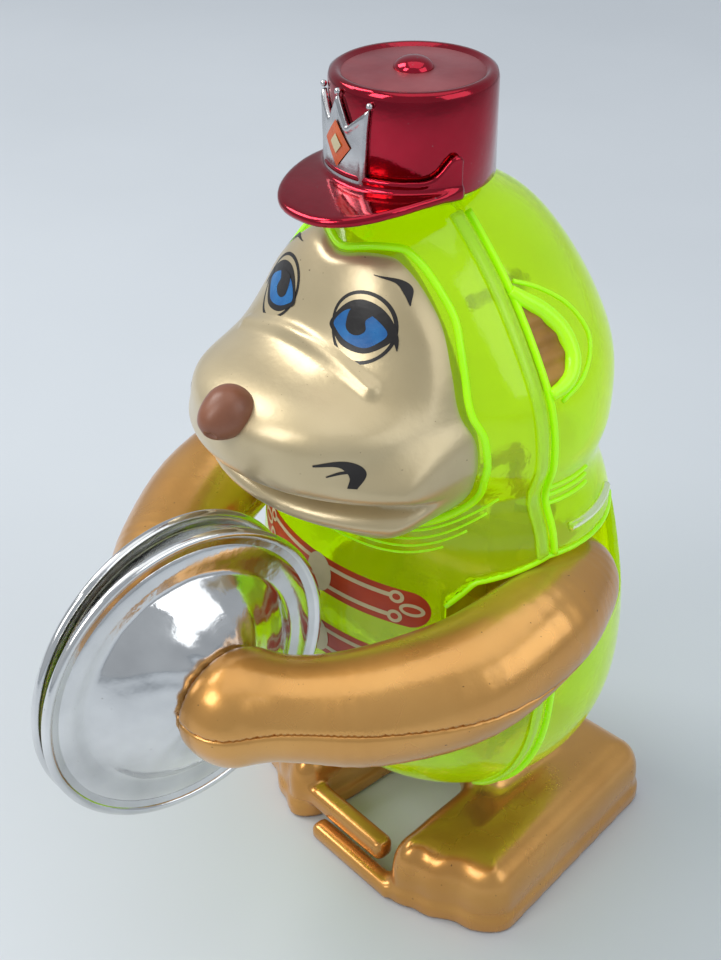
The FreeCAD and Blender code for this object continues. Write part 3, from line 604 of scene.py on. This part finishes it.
def make_seam_rims():
    """Smooth rim strip along the front shell's edge and a strip along the rear shell's edge, whose
    brightness is painted glow of the fluorescent plastic.
    """
    strips = (("front", "rim", -1.25, 1.15, 0.75), ("rear", "edge", 0.7, 0.42, 0.9))
    parts = (("lower", 26.0, SLOT_LOW - 0.4), ("upper", SLOT_HIGH + 0.4, 136.0))
    for sign, side in SIDES:
        for name, look, y, half_deep, out in strips:
            for part, low, high in parts:
                verts, faces = seam_strip(y, low, high, half_deep, out)
                if sign < 0:
                    faces = [face[::-1] for face in faces]
                piece(f"{side}_{name}_seam_{part}", verts * (sign, 1, 1), faces, look)


def front_line(x, z):
    """Line across the front of the body at given x and z."""
    wide, middle, deep = ring_at(z)
    y = middle - deep * np.sqrt(np.maximum(1 - (x / wide) ** 2, 0))
    return settle(body_field, np.stack([x, y, z], axis=1), 2.0)


def side_line(z, y_low, y_high, lift=0.0):
    """Line round the left of the body between two depths; z is a height or a function of y."""
    y = np.linspace(y_low, y_high, 60)
    z = z(y) if callable(z) else np.full(len(y), float(z))
    return settle(lambda p: body_field(p) - lift, side_points(y, z), 2.0)


def make_neck_and_slots():
    """Neck ridges, chin ridges, slot borders and the shoulder ledge."""
    for sign, side in SIDES:
        mirror = (sign, 1, 1)
        for index, height in enumerate((93.2, 94.6, 96.0)):
            tube(f"{side}_neck_ridge_{index}", side_line(height, 0.8, 10.0) * mirror, 0.35, "edge")
        border = side_line(slot_top, SLOT_FRONT, SLOT_REAR - 1.0, -0.3)
        tube(f"{side}_slot_border", border * mirror, 0.5, "edge")
        ledge = side_line(88.5, 4.0, 17.0) * mirror
        tube(f"{side}_shoulder_ledge", ledge, 0.8, "rim", inward=side == "left")
    for index, (height, reach) in enumerate(((87.6, 26.0), (86.2, 25.0), (84.9, 23.5), (83.7, 21.0))):
        x = np.linspace(-reach, reach, 90)
        tube(f"chin_ridge_{index}", front_line(x, height + 8.0 * (x / 26.0) ** 4), 0.2, "edge")


# ------------------------ face

BROW = ((0, -10.2, 100.2), (23.8, 13.8, 34.0))
MUZZLE = ((0, -21.2, 110.3), (19.4, 16.1, 6.5))
CHEEK = ((6.3, -11.5, 99.4), (14.5, 13.1, 2.5))
BORDER = [(24.5, 107.8), (23, 111), (22, 113.5), (20.9, 116.4), (19.2, 120.1), (17.3, 123.6),
          (14.9, 126.6), (12.1, 129.4), (9.8, 131.1), (8, 131.9), (4.5, 131.8), (0, 130.9)]
CHIN, FACE_BACK = 89.4, -9.5


def face_border():
    """Closed outline of the mask in x and z."""
    lower = []
    for step in range(1, 10):
        turn = math.pi / 2 * step / 10
        lower.append((25.2 * math.cos(turn) ** 0.55, 107.8 - (107.8 - CHIN) * math.sin(turn) ** 0.75))
    half = [(0, CHIN)] + lower[::-1] + BORDER
    other = [(-x, z) for x, z in half[1:-1]][::-1]
    return closed_spline(np.array(half + other, float), 4)


FACE_EDGE = face_border()


def face_mass(points):
    """Brow, muzzle and cheeks, melted together."""
    mass = join(ellipsoid(points, *BROW), ellipsoid(points, *MUZZLE), 7.44)
    for sign, _ in SIDES:
        place = np.array(CHEEK[0]) * (sign, 1, 1)
        mass = join(mass, ellipsoid(points, place, CHEEK[1]), 14.0)
    return mass


def crease(points):
    """Moulded fold across the muzzle."""
    line = spline([(-14.2, -21.8, 116.3), (-5.9, -22.2, 118.8), (0, -22.8, 119.8), (5.9, -22.2, 118.8),
                   (14.2, -21.8, 116.3)], 8)
    return thread_field(points, line, np.full(len(line), 1.2))


def face_field(points):
    """The mask: the face with its fold, inside its outline and in front of the shell."""
    mass = join(face_mass(points), crease(points) + 1.0, 2.0)
    edge = polygon_field(points[:, [0, 2]], FACE_EDGE)
    return common(common(mass, edge, 1.2), points[:, 1] - FACE_BACK, 0.6)


def make_face():
    """Face mask and the raised rim round it."""
    verts, faces = surface(face_field, (-27, -44, CHIN - 3), (27, -6, 135), 0.62)
    piece("face_moulding", verts, faces, "pearl", stands_for=("face_mask",), slot="pearl_face")
    centre = FACE_EDGE.mean(axis=0)
    wider = centre + (FACE_EDGE - centre) * 1.035
    depth = front_of(body_field, wider[:, 0], wider[:, 1])
    ring = settle(lambda p: body_field(p) - 0.1, np.stack([wider[:, 0], depth, wider[:, 1]], axis=1), 1.0)
    tube("face_rim", ring, 0.6, "edge", closed=True)


def nose_field(points):
    """Nose knob with a blunt tip and two nostrils."""
    low, high = span("nose")
    centre = (low + high) / 2 + (0, -1.5, 1.0)
    radius = (high[0] - low[0]) / 2
    ball = ellipsoid(points, centre + (0, -0.6, -0.2), np.array((0.86, 0.9, 0.9)) * radius)
    tip = ellipsoid(points, centre + (0, -2.6, -0.9), np.array((0.66, 0.72, 0.66)) * radius)
    mass = join(ball, tip, 1.2)
    for sign, _ in SIDES:
        nostril = centre + (sign * 1.3, -radius - 1.3, -2.2)
        mass = without(mass, ellipsoid(points, nostril, (0.9, 1.2, 0.7)), 0.5)
    return mass


def make_nose():
    """Painted nose knob."""
    low, high = span("nose")
    verts, faces = surface(nose_field, low - 3, high + 3, 0.35)
    piece("nose_knob", verts, faces, "nose", stands_for=("nose",), slot="nose_paint")


EYE = np.array((9.1, 123.4))
EYE_ACROSS, EYE_UP = np.array((4.4, 0.9)), np.array((-1.9, 4.35))
LENS = [(4.0, 123.0), (5.5, 125.7), (7.6, 126.9), (10.2, 126.6), (12.5, 125.2), (14.0, 123.1),
        (13.1, 121.5), (10.8, 120.2), (7.4, 120.5), (5.1, 121.8)]
IRIS = [(4.7, 123.2), (5.9, 125.0), (7.7, 125.6), (10.0, 125.2), (12.0, 124.1), (12.9, 123.1),
        (12.4, 122.1), (10.6, 120.9), (7.7, 121.2), (5.6, 122.2)]
PUPIL = [(6.7, 123.4), (7.6, 122.4), (9.0, 122.3), (9.9, 123.1), (9.5, 124.4), (10.2, 125.5), (7.0, 125.7)]


def eye_ring(grow):
    """Tilted oval round the eye."""
    turns = np.radians(np.arange(0, 360, 6))
    return EYE + grow * (np.cos(turns)[:, None] * EYE_ACROSS + np.sin(turns)[:, None] * EYE_UP)


LASH = stroke([(13.2, 123.9), (14.2, 122.4), (14.8, 121.1)], (1.0, 0.6, 0.1))
EYEBROW = stroke([(7.8, 130.0), (10.8, 129.5), (12.6, 128.3), (13.8, 126.7)], (0.08, 0.4, 0.6, 0.08))
MOUTH = stroke([(14.4, 108.5), (16.7, 108.9), (18.0, 108.4), (19.0, 106.9), (18.9, 105.2)],
               (0.3, 0.8, 1.2, 1.4, 1.0))
SMUDGE = stroke([(16.0, 106.9), (17.3, 107.5), (18.4, 107.6)], (0.2, 0.45, 0.4))


def make_face_prints():
    """Eyes, brows, lashes and mouth corners."""
    marks = (
        ("eye_ring", eye_ring(1.05), 0.06, "black"),
        ("eye_ground", eye_ring(0.95), 0.09, "pearl"),
        ("eye_lens", closed_spline(LENS), 0.12, "black"),
        ("iris", closed_spline(IRIS), 0.15, "blue"),
        ("pupil", closed_spline(PUPIL), 0.18, "black"),
        ("lash", LASH, 0.18, "black"),
        ("brow", EYEBROW, 0.08, "black"),
        ("mouth", MOUTH, 0.08, "black"),
        ("mouth_smudge", SMUDGE, 0.07, "black"),
    )
    for sign, side in SIDES:
        for name, outline, lift, look in marks:
            shape = outline * (sign, 1)
            if sign < 0:
                shape = shape[::-1]
            decal(f"{side}_{name}", shape, face_mass, lift, look, 0.6)


# ------------------------ ears

EAR_RIDGE = [(19.6, 0.6, 126.2), (20.8, 1.8, 125.0), (22.7, 4.6, 122.5), (24.8, 6.6, 119.5),
             (26.7, 6.9, 116.2), (27.8, 5.6, 114.0), (28.4, 3.4, 112.8), (28.4, 0.9, 112.3)]
EAR_OUTER = [(19.4, 1.9, 127.4), (21.0, 6.1, 125.3), (22.9, 10.7, 121.6), (25.0, 12.9, 117.3),
             (26.7, 11.4, 114.4), (28.3, 7.7, 112.0), (28.9, 3.0, 110.6)]
EAR_WIDTHS = (0.8, 1.1, 1.3, 1.35, 1.35, 1.3, 1.2, 0.9)


def make_ears():
    """Ear ridge that rises from the head, its ribbed amber lining and the faint outer ridge."""
    line = settle(lambda p: body_field(p) - 0.5, spline(EAR_RIDGE, 8), 4.0)
    widths = spline([(wide, 0) for wide in EAR_WIDTHS], 8)[:, 0]
    outer = settle(lambda p: body_field(p) - 0.05, spline(EAR_OUTER, 8), 4.0)
    for sign, side in SIDES:
        mirror = (sign, 1, 1)
        tube(f"{side}_ear_ridge", line * mirror, widths, "edge", 14, stands_for=(f"{side}_ear",),
             slot="clear_shell")

        def lining(points):
            mirrored = points * mirror
            window = polygon_field(mirrored[:, [1, 2]], line[:, [1, 2]])
            ribs = 0.15 * np.sin(points[:, 2] * 2.4)
            skin_field = np.maximum(body_field(mirrored) - 0.35 + ribs, -1.3 - body_field(mirrored))
            return common(common(window, skin_field, 0.3), 15 - mirrored[:, 0], 0.3)
        inner, reach = (16.0, 33.0) if sign > 0 else (-33.0, -16.0)
        verts, faces = surface(lining, (inner, -1.5, 109.0), (reach, 10.0, 129.0), 0.4)
        piece(f"{side}_ear_lining", verts, faces, "amber", stands_for=(f"{side}_ear_insert",))
        tube(f"{side}_outer_ear_ridge", outer * mirror, 0.35, "edge")


# ------------------------ hat


def make_hat():
    """Hat crown with its lip and soft top, the button, the seat, the peak and the badge."""
    low, high = span("hat_crown")
    radius, base, top = high[0], low[2], high[2]
    outside = [(radius - 1.0, base), (radius - 0.2, base), (radius, base + 0.3),
               (radius - 0.05, top - 1.2)]
    lip = [(radius - 0.3, top - 0.4), (radius - 0.9, top - 0.05), (radius - 1.5, top - 0.1)]
    dish = [(radius - 2.0, top - 0.7), (4.0, top - 0.5), (0, top - 0.45)]
    verts, faces = lathe(outside + lip + dish)
    wall = piece("hat_crown_wall", verts, faces, "red", stands_for=("hat_crown",), slot="red_plating")
    sharpen(wall, 55)
    disc = [(radius - 1.9, top - 0.62), (radius - 2.4, top - 0.42), (4.0, top - 0.25), (0, top - 0.2)]
    verts, faces = lathe(disc)
    piece("hat_crown_top", verts, faces, "red_soft")
    low, high = span("hat_button")
    wide, base, top = high[0], low[2] - 0.4, high[2]
    arc = np.linspace(0.1, 1.45, 10)
    dome = [(wide * math.cos(t), base + (top - base) * math.sin(t)) for t in arc]
    verts, faces = lathe([(wide, base)] + dome + [(0, top)], 48)
    piece("hat_button_cap", verts, faces, "red", stands_for=("hat_button",), slot="red_plating")
    make_hat_seat()
    make_visor(radius)
    make_badge(radius)


def make_hat_seat():
    """Moulded ring on top of the head that carries the hat."""
    low, high = RINGS[-1, 0] - 0.6, span("hat_crown")[0][2] + 0.4
    wide = 9.6
    verts, faces = lathe([(0, low), (wide + 0.6, low), (wide + 0.3, low + 0.7), (wide, high - 0.3),
                          (wide - 0.3, high), (0, high)], 72)
    piece("hat_seat", verts, faces, "shell")


def make_visor(radius):
    """Peak with its band, which rises to a hump at each side."""
    base = span("hat_visor")[0][2]
    reach, half, squareness = 22.6, 13.0, 2.4
    droop_start, droop, half_thick = 9, 1.7, 0.7
    band_high, hump_high, hump_turn, hump_wide = 2.7, 3.3, 74, 11.0

    def visor(points):
        x, y, z = points.T
        behind = y + 2.5
        flat = (np.abs(x / half) ** squareness + np.abs(y / reach) ** squareness) ** (1 / squareness)
        plate = (flat - 1) * half
        ahead = np.clip((-y - droop_start) / (reach - droop_start), 0, 1)
        middle = base + 0.75 - droop * ahead ** 1.6
        peak = common(common(plate, np.abs(z - middle) - half_thick, 0.6), behind, 0.5)
        around = np.hypot(x, y)
        turn = np.degrees(np.arctan2(np.abs(x), -y))
        rise = band_high + hump_high * np.exp(-((turn - hump_turn) / hump_wide) ** 2)
        wall = np.abs(around - radius - 0.4) - 0.4
        band = common(common(wall, np.maximum(base - z, z - base - rise), 0.3), behind, 0.4)
        bead = common(np.hypot(around - radius - 0.45, z - base - rise) - 0.5, behind, 0.3)
        whole = np.minimum(join(peak, band, 0.8), bead)
        return without(whole, around - radius - 0.05, 0.2)
    verts, faces = surface(visor, (-16, -27, base - 2), (16, 0, base + 8), 0.4)
    piece("hat_peak", verts, faces, "red", stands_for=("hat_visor",), slot="red_plating")


def make_badge(radius):
    """Silver badge with three points and little balls, and a plain diamond in its middle."""
    low, high = span("hat_badge")
    base, top = low[2], high[2]
    half, twist = 23.0, -9.0            # degrees round the hat
    right = [(half + 2, top - 6), (half + 4, top - 2.4), (half * 0.42, top - 5.6)]
    left = [(-turn, height) for turn, height in right[::-1]]
    outline = np.array([(-half, base), (half, base)] + right + [(0, top - 1.6)] + left)
    scale = math.radians(1) * radius

    def on_hat(turn, height, lift):
        angle = math.radians(turn + twist)
        return math.sin(angle) * (radius + lift), -math.cos(angle) * (radius + lift), height

    def badge(points):
        x, y, z = points.T
        turn = np.degrees(np.arctan2(x, -y)) - twist
        flat = polygon_field(np.stack([turn * scale, z], axis=1), outline * (scale, 1))
        around = np.hypot(x, y) - radius
        rim = 0.25 * np.exp(-((flat + 0.5) / 0.45) ** 2)
        plate = common(flat, around - 0.75 - rim, 0.3)
        return common(plate, 0.05 - around, 0.1)
    verts, faces = surface(badge, (-9.5, -15, base - 1.5), (9.5, -7, top + 2), 0.28)
    piece("hat_badge_plate", verts, faces, "silver", stands_for=("hat_badge",), slot="badge_plating")
    ball = 0.5
    tips = ((-half - 4, top - 2.0), (0, top - 1.2), (half + 4, top - 2.0))
    for index, (turn, height) in enumerate(tips):
        arc = np.linspace(-math.pi / 2, math.pi / 2, 9)
        verts, faces = lathe([(ball * math.cos(t), ball * math.sin(t)) for t in arc], 20)
        piece(f"hat_badge_ball_{index}", verts + on_hat(turn, height, ball), faces, "silver")
    middle, count = (base + top) / 2 - 1.6, 24
    for name, size, look, lift in (("field", 3.3, "orange", 0.95), ("centre", 1.4, "cream", 1.05)):
        verts = []
        for t in np.arange(count) * 2 * math.pi / count:
            reach = size / (abs(math.cos(t)) * 1.15 + abs(math.sin(t)) * 0.95)
            verts.append(on_hat(math.cos(t) * reach / scale, middle + math.sin(t) * reach, lift))
        verts.append(on_hat(0, middle, lift))
        faces = [(count, index, (index + 1) % count) for index in range(count)]
        piece(f"hat_badge_{name}", verts, faces, look)


# ------------------------ arms and cymbals

ARM_LINE = [(24.5, 8.6, 75.2), (30.8, 8.4, 75.2), (34.0, 1.7, 75.6), (35.2, -6.4, 75.2),
            (33.3, -19.6, 72.0), (26.6, -32.4, 70.0), (20.0, -40.6, 70.0), (13.6, -47.4, 70.8)]
ARM_RADII = (6.6, 7.0, 7.9, 8.9, 9.7, 9.2, 8.2, 8.2)
SHOULDER_CUT = (22.2, -12.0)        # the arm's shell ends at this x, behind this y
FIST = np.array((12.4, -49.2, 70.9))
YAW = math.radians(3.0)
CYMBAL_GAP = 2.45       # from the toy's middle to the cymbal's rim plane
OUTWARD = np.array((math.cos(YAW), -math.sin(YAW), 0))
CYMBAL_RADIUS, DOME_RADIUS, DOME_DEEP, METAL = 25.0, 18.5, 8.0, 0.45
SPHERE = (DOME_RADIUS ** 2 + DOME_DEEP ** 2) / (2 * DOME_DEEP)
DOME_BASE = 0.5 + DOME_DEEP - SPHERE


def cymbal_middle():
    """Middle of the left cymbal's rim plane."""
    low, high = span("left_cymbal")
    return np.array((CYMBAL_GAP, (low[1] + high[1]) / 2, (low[2] + high[2]) / 2))


def arm_field():
    """Field of the whole left arm, from its shoulder to the fist, cut off along its cymbal."""
    line = spline(ARM_LINE, 5)
    radii = spline([(radius, 0) for radius in ARM_RADII], 5)[:, 0]
    plane = cymbal_middle()
    turns = np.radians(-52 + 34 * np.arange(4))
    fingers = [FIST + (0.6, -4.6 * math.cos(turn), -4.9 * math.sin(turn)) for turn in turns]

    def field(points):
        mass = join(thread_field(points, line, radii), ellipsoid(points, FIST, (8.2, 8.8, 9.1)), 3.0)
        for finger in fingers:
            mass = join(mass, ellipsoid(points, finger, (6.0, 3.6, 3.3)), 1.6)
        reach = points - plane
        out = reach @ OUTWARD
        across = np.linalg.norm(reach - out[:, None] * OUTWARD, axis=1)
        dome = DOME_BASE + np.sqrt(np.maximum(SPHERE ** 2 - across ** 2, 1))
        disc = np.where(across < DOME_RADIUS, dome, 0.6)
        return common(mass, disc + 0.8 - out, 0.8)
    return field


def make_arms():
    """Two half shells of each arm, made for the left one and mirrored."""
    field = arm_field()
    split = span("left_arm_upper")[0][2]
    half_gap, cell = 0.06, 0.7
    for part, sign, cells_below, cells_above in (("upper", 1, 3.5, 22.5), ("lower", -1, 20.5, 3.5)):
        def half(points):
            gap = half_gap - sign * (points[:, 2] - split)
            inside = np.minimum(SHOULDER_CUT[0] - points[:, 0], points[:, 1] - SHOULDER_CUT[1])
            return common(common(field(points), gap, 0.4), inside, 0.3)
        low = (-1, -62, split - cells_below * cell)
        high = (48, 20, split + cells_above * cell)
        verts, faces = surface(half, low, high, cell)
        for mirror, side in SIDES:
            turned = faces if mirror > 0 else faces[:, ::-1]
            piece(f"{side}_arm_{part}_moulding", verts * (mirror, 1, 1), turned, "gold",
                  f"{side}_arm", (f"{side}_arm_{part}",), "gold_plastic")


def cymbal_profile():
    """Section of the pressed disc, outer face then inner face."""
    dome_radii = np.linspace(1.25, DOME_RADIUS - 0.3, 26)
    dome = [(r, DOME_BASE + math.sqrt(SPHERE ** 2 - r ** 2)) for r in dome_radii]
    flange = [(DOME_RADIUS + 0.2, 0.45), (DOME_RADIUS + 0.8, 0.35), (20.6, 0.42), (22.6, 0.30),
              (23.2, -0.02), (23.6, 0.05)]
    turns, roll = np.radians(np.arange(150, -160, -22)), 0.8
    bead = [(CYMBAL_RADIUS + roll * math.cos(t), 0.2 + roll * math.sin(t)) for t in turns]
    outer = [(r, height + METAL) for r, height in dome + flange]
    return outer + bead + (dome + flange)[::-1] + [outer[0]]


def make_cymbals():
    """Both cymbals, lathed with a slightly beaten dome and turned to face each other."""
    plane = cymbal_middle()
    verts, faces = lathe(cymbal_profile()[::-1], 160)
    radius = np.hypot(verts[:, 0], verts[:, 1])
    angle = np.arctan2(verts[:, 1], verts[:, 0])
    crinkle = 0.03 * np.sin(9 * angle + 0.6 * radius) * np.sin(0.9 * radius)
    crinkle += 0.05 * np.sin(17 * angle - radius)
    verts[:, 2] += np.where(radius < DOME_RADIUS, crinkle * np.clip(radius / 6, 0, 1), 0.0)
    warp = 0.05 * np.sin(3 * angle + 1.0)
    verts[:, 2] += warp * np.clip((radius - 16) / 8, 0, 1)
    for mirror, side in SIDES:
        axis = Vector(OUTWARD * (mirror, 1, 1))
        turn = Vector((0, 0, 1)).rotation_difference(axis).to_matrix()
        placed = verts @ np.array(turn).T + plane * (mirror, 1, 1)
        disc = piece(f"{side}_cymbal_disc", placed, faces, "tin", f"{side}_arm",
                     (f"{side}_cymbal",), "tin_plate")
        sharpen(disc, 35)


# ------------------------ feet

# All drawn for the left foot: the corners of its core; each box's low corner, high corner and rounding.
FOOT_CORE = [(15.8, -11.6), (29.0, -5.2), (25.0, 35.4), (13.6, 34.6)]
LEG_BLOCK = ((6.7, 8.3, 8), (16.5, 26.1, 24.7), 1.2)
LOWER_BAR = ((-8.4, -18.3, -2), (14.0, -14.4, 3.1), 1.3)
UPPER_BAR = ((-8.9, -15.5, 3.6), (14.0, -11.2, 8.3), 1.6)
LINK_ROOM = ((14.25, 8.6, 12.3), (15.95, 25.9, 60), 0.0)


def foot_field(bar):
    """Field of a foot, drawn as the left one, with the bar that reaches across the front."""
    tall, step_tall, wave_long = 14.0, 3.2, 7.6

    def field(points):
        x, y, z = points.T
        rounded = polygon_field(np.stack([x, y], axis=1), FOOT_CORE) - 5.0
        wave = 0.32 * np.cos((x - 14.6) * 2 * math.pi / wave_long) * np.clip((-5 - y) / 6, 0, 1)
        dish = 0.7 * np.exp(-((rounded + 9) / 5.0) ** 2)
        top = common(rounded - wave, z - tall + dish - 0.9, 9.0)
        step = common(rounded - wave - 0.5, z - step_tall, 1.2)
        mass = join(join(top, step, 1.2), box_field(points, *LEG_BLOCK), 4.5)
        mass = join(mass, box_field(points, *bar), 1.4)
        mass = without(mass, box_field(points, *LINK_ROOM), 0.15)
        return common(mass, -z, 0.5)
    return field


def make_feet():
    """Left foot with the lower bar, right foot with the upper one."""
    for (sign, side), bar in zip(SIDES, (LOWER_BAR, UPPER_BAR)):
        verts, faces = surface(foot_field(bar), (-11, -21, -1.5), (38, 43, 27), 0.62)
        turned = faces if sign > 0 else faces[:, ::-1]
        piece(f"{side}_foot_moulding", verts * (sign, 1, 1), turned, "gold", f"{side}_foot",
              (f"{side}_shoe",), "gold_plastic")


# ------------------------ chest prints and small parts


def chest_print(name, outline, lift, look, pitch):
    """Printed patch on the front of the body."""
    decal(name, outline, body_field, lift, look, pitch)


def level_stroke(ends, height, width):
    """Outline of a straight level stroke through the given x places."""
    return stroke([(x, height) for x in ends], (width,) * len(ends))


def make_chest_prints():
    """Two red braids with cream piping, a cream oval in the middle and three loops at each end."""
    end, tall, gap = 17.6, 6.8, 1.9
    loops = ((0.4, 0.0, 2.0), (-2.2, 1.9, 1.25), (-2.2, -1.9, 1.25))
    loop_tall, loop_rim = 1.2, 0.6
    for row, height in (("upper", 74.4), ("lower", 61.6)):
        chest_print(f"{row}_braid", level_stroke((-end, -8, 8, end), height, tall), 0.08, "band", 1.0)
        for index, up in enumerate((gap, -gap)):
            piping = level_stroke((3 - end, 0, end - 3), height + up, 0.8)
            chest_print(f"{row}_piping_{index}", piping, 0.12, "cream", 0.8)
        chest_print(f"{row}_button", oval(0, height, 2.9, 3.6), 0.17, "cream", 0.8)
        for sign, side in SIDES:
            cap = oval(sign * end, height, 3.2, tall / 2)
            chest_print(f"{side}_{row}_braid_end", cap, 0.085, "band", 1.0)
            for index, (along, up, wide) in enumerate(loops):
                spot = (sign * (end + along), height + up)
                loop = oval(*spot, wide, loop_tall, 36)
                chest_print(f"{side}_{row}_loop_{index}", loop, 0.15 + 0.01 * index, "cream", 0.6)
                eye = oval(*spot, wide - loop_rim, loop_tall - loop_rim, 36)
                chest_print(f"{side}_{row}_loop_eye_{index}", eye, 0.19, "band", 0.6)


RIB_COUNT = 28


def make_knob():
    """Ribbed winding knob."""
    low, high = span("winding_knob")
    middle = (low + high) / 2
    radius, thick = (high[2] - low[2]) / 2, high[0] - low[0]
    profile = [(0, 0), (radius - 1.0, 0), (radius - 0.2, 0.5), (radius, 1.0), (radius, thick - 2.0),
               (radius - 0.5, thick - 1.2), (radius * 0.72, thick - 0.5), (radius * 0.5, thick - 0.9),
               (radius * 0.45, thick), (0, thick)]

    def ribs(turn, r):
        return 1 + (0.02 * math.cos(RIB_COUNT * turn) if r > radius * 0.9 else 0)
    verts, faces = lathe(profile, 6 * RIB_COUNT, ribs)
    placed = np.stack([-verts[:, 2] + thick / 2, verts[:, 0], verts[:, 1]], axis=1) + middle
    faces = [face[::-1] for face in faces]
    grip = piece("winding_knob_grip", placed, faces, "white", "winder", ("winding_knob",),
                 "white_plastic")
    sharpen(grip, 45)


# ------------------------ room


def make_floor():
    """Plain floor, a hair below the feet."""
    size, below = 6.0, 0.0003
    mesh = bpy.data.meshes.new("floor")
    corners = [(-size, -size, 0), (size, -size, 0), (size, size, 0), (-size, size, 0)]
    mesh.from_pydata(corners, [], [(0, 1, 2, 3)])
    floor = bpy.data.objects.new("floor", mesh)
    floor.location.z = -below
    bpy.context.scene.collection.objects.link(floor)
    mesh.materials.append(LOOK["floor"])


def area_light(name, place, aim, wide, tall, power, colour=(1, 1, 1)):
    """Rectangular light that points at the aim."""
    lamp = bpy.data.lights.new(name, "AREA")
    lamp.shape = "RECTANGLE"
    lamp.size = wide
    lamp.size_y = tall
    lamp.energy = power
    lamp.color = colour
    made = bpy.data.objects.new(name, lamp)
    made.location = place
    made.rotation_euler = (Vector(aim) - Vector(place)).to_track_quat("-Z", "Y").to_euler()
    bpy.context.scene.collection.objects.link(made)


def make_lights():
    """Two soft windows in front, a fill from the side, a light above, and a pale room."""
    aim = (0, 0, 0.07)
    area_light("window_left", (-0.55, -0.25, 0.75), aim, 0.35, 0.5, 3.6, (1.0, 0.98, 0.95))
    area_light("window_right", (-0.10, -0.75, 0.75), aim, 0.35, 0.5, 3.0, (1.0, 0.98, 0.96))
    area_light("fill_side", (0.75, 0.25, 0.55), aim, 0.6, 0.6, 1.5, (0.94, 0.97, 1.0))
    area_light("top", (0.1, 0.1, 1.1), aim, 0.9, 0.9, 2.0)
    world = bpy.data.worlds.new("room")
    world.use_nodes = True
    shade = world.node_tree.nodes["Background"]
    shade.inputs["Color"].default_value = (0.80, 0.86, 0.93, 1)
    shade.inputs["Strength"].default_value = 0.52
    bpy.context.scene.world = world


def make_camera():
    """Camera to the toy's left front, looking down on it."""
    # Angles in radians and place in metres, fitted to the feet, the hat and the cymbal rims.
    turn, lift, roll = 0.8359, 0.6067, -0.0114
    place = Vector((0.139502, -0.120190, 0.218836))
    back = Vector((math.sin(turn) * math.cos(lift), -math.cos(turn) * math.cos(lift), math.sin(lift)))
    right = Vector((math.cos(turn), math.sin(turn), 0))
    up = back.cross(right)
    level = math.cos(roll) * right + math.sin(roll) * up
    upward = -math.sin(roll) * right + math.cos(roll) * up
    lens = bpy.data.cameras.new("camera")
    lens.sensor_width = 36
    lens.lens = 51.86
    lens.clip_start = 0.01
    made = bpy.data.objects.new("camera", lens)
    made.matrix_world = Matrix((
        (level.x, upward.x, back.x, place.x), (level.y, upward.y, back.y, place.y),
        (level.z, upward.z, back.z, place.z), (0, 0, 0, 1)))
    bpy.context.scene.collection.objects.link(made)
    bpy.context.scene.camera = made
    bpy.context.scene.view_settings.view_transform = "Standard"


dress_cad_nodes()
make_shells()
make_seam_rims()
make_neck_and_slots()
make_face()
make_nose()
make_face_prints()
make_ears()
make_hat()
make_arms()
make_cymbals()
make_feet()
make_chest_prints()
make_knob()
make_floor()
make_lights()
make_camera()
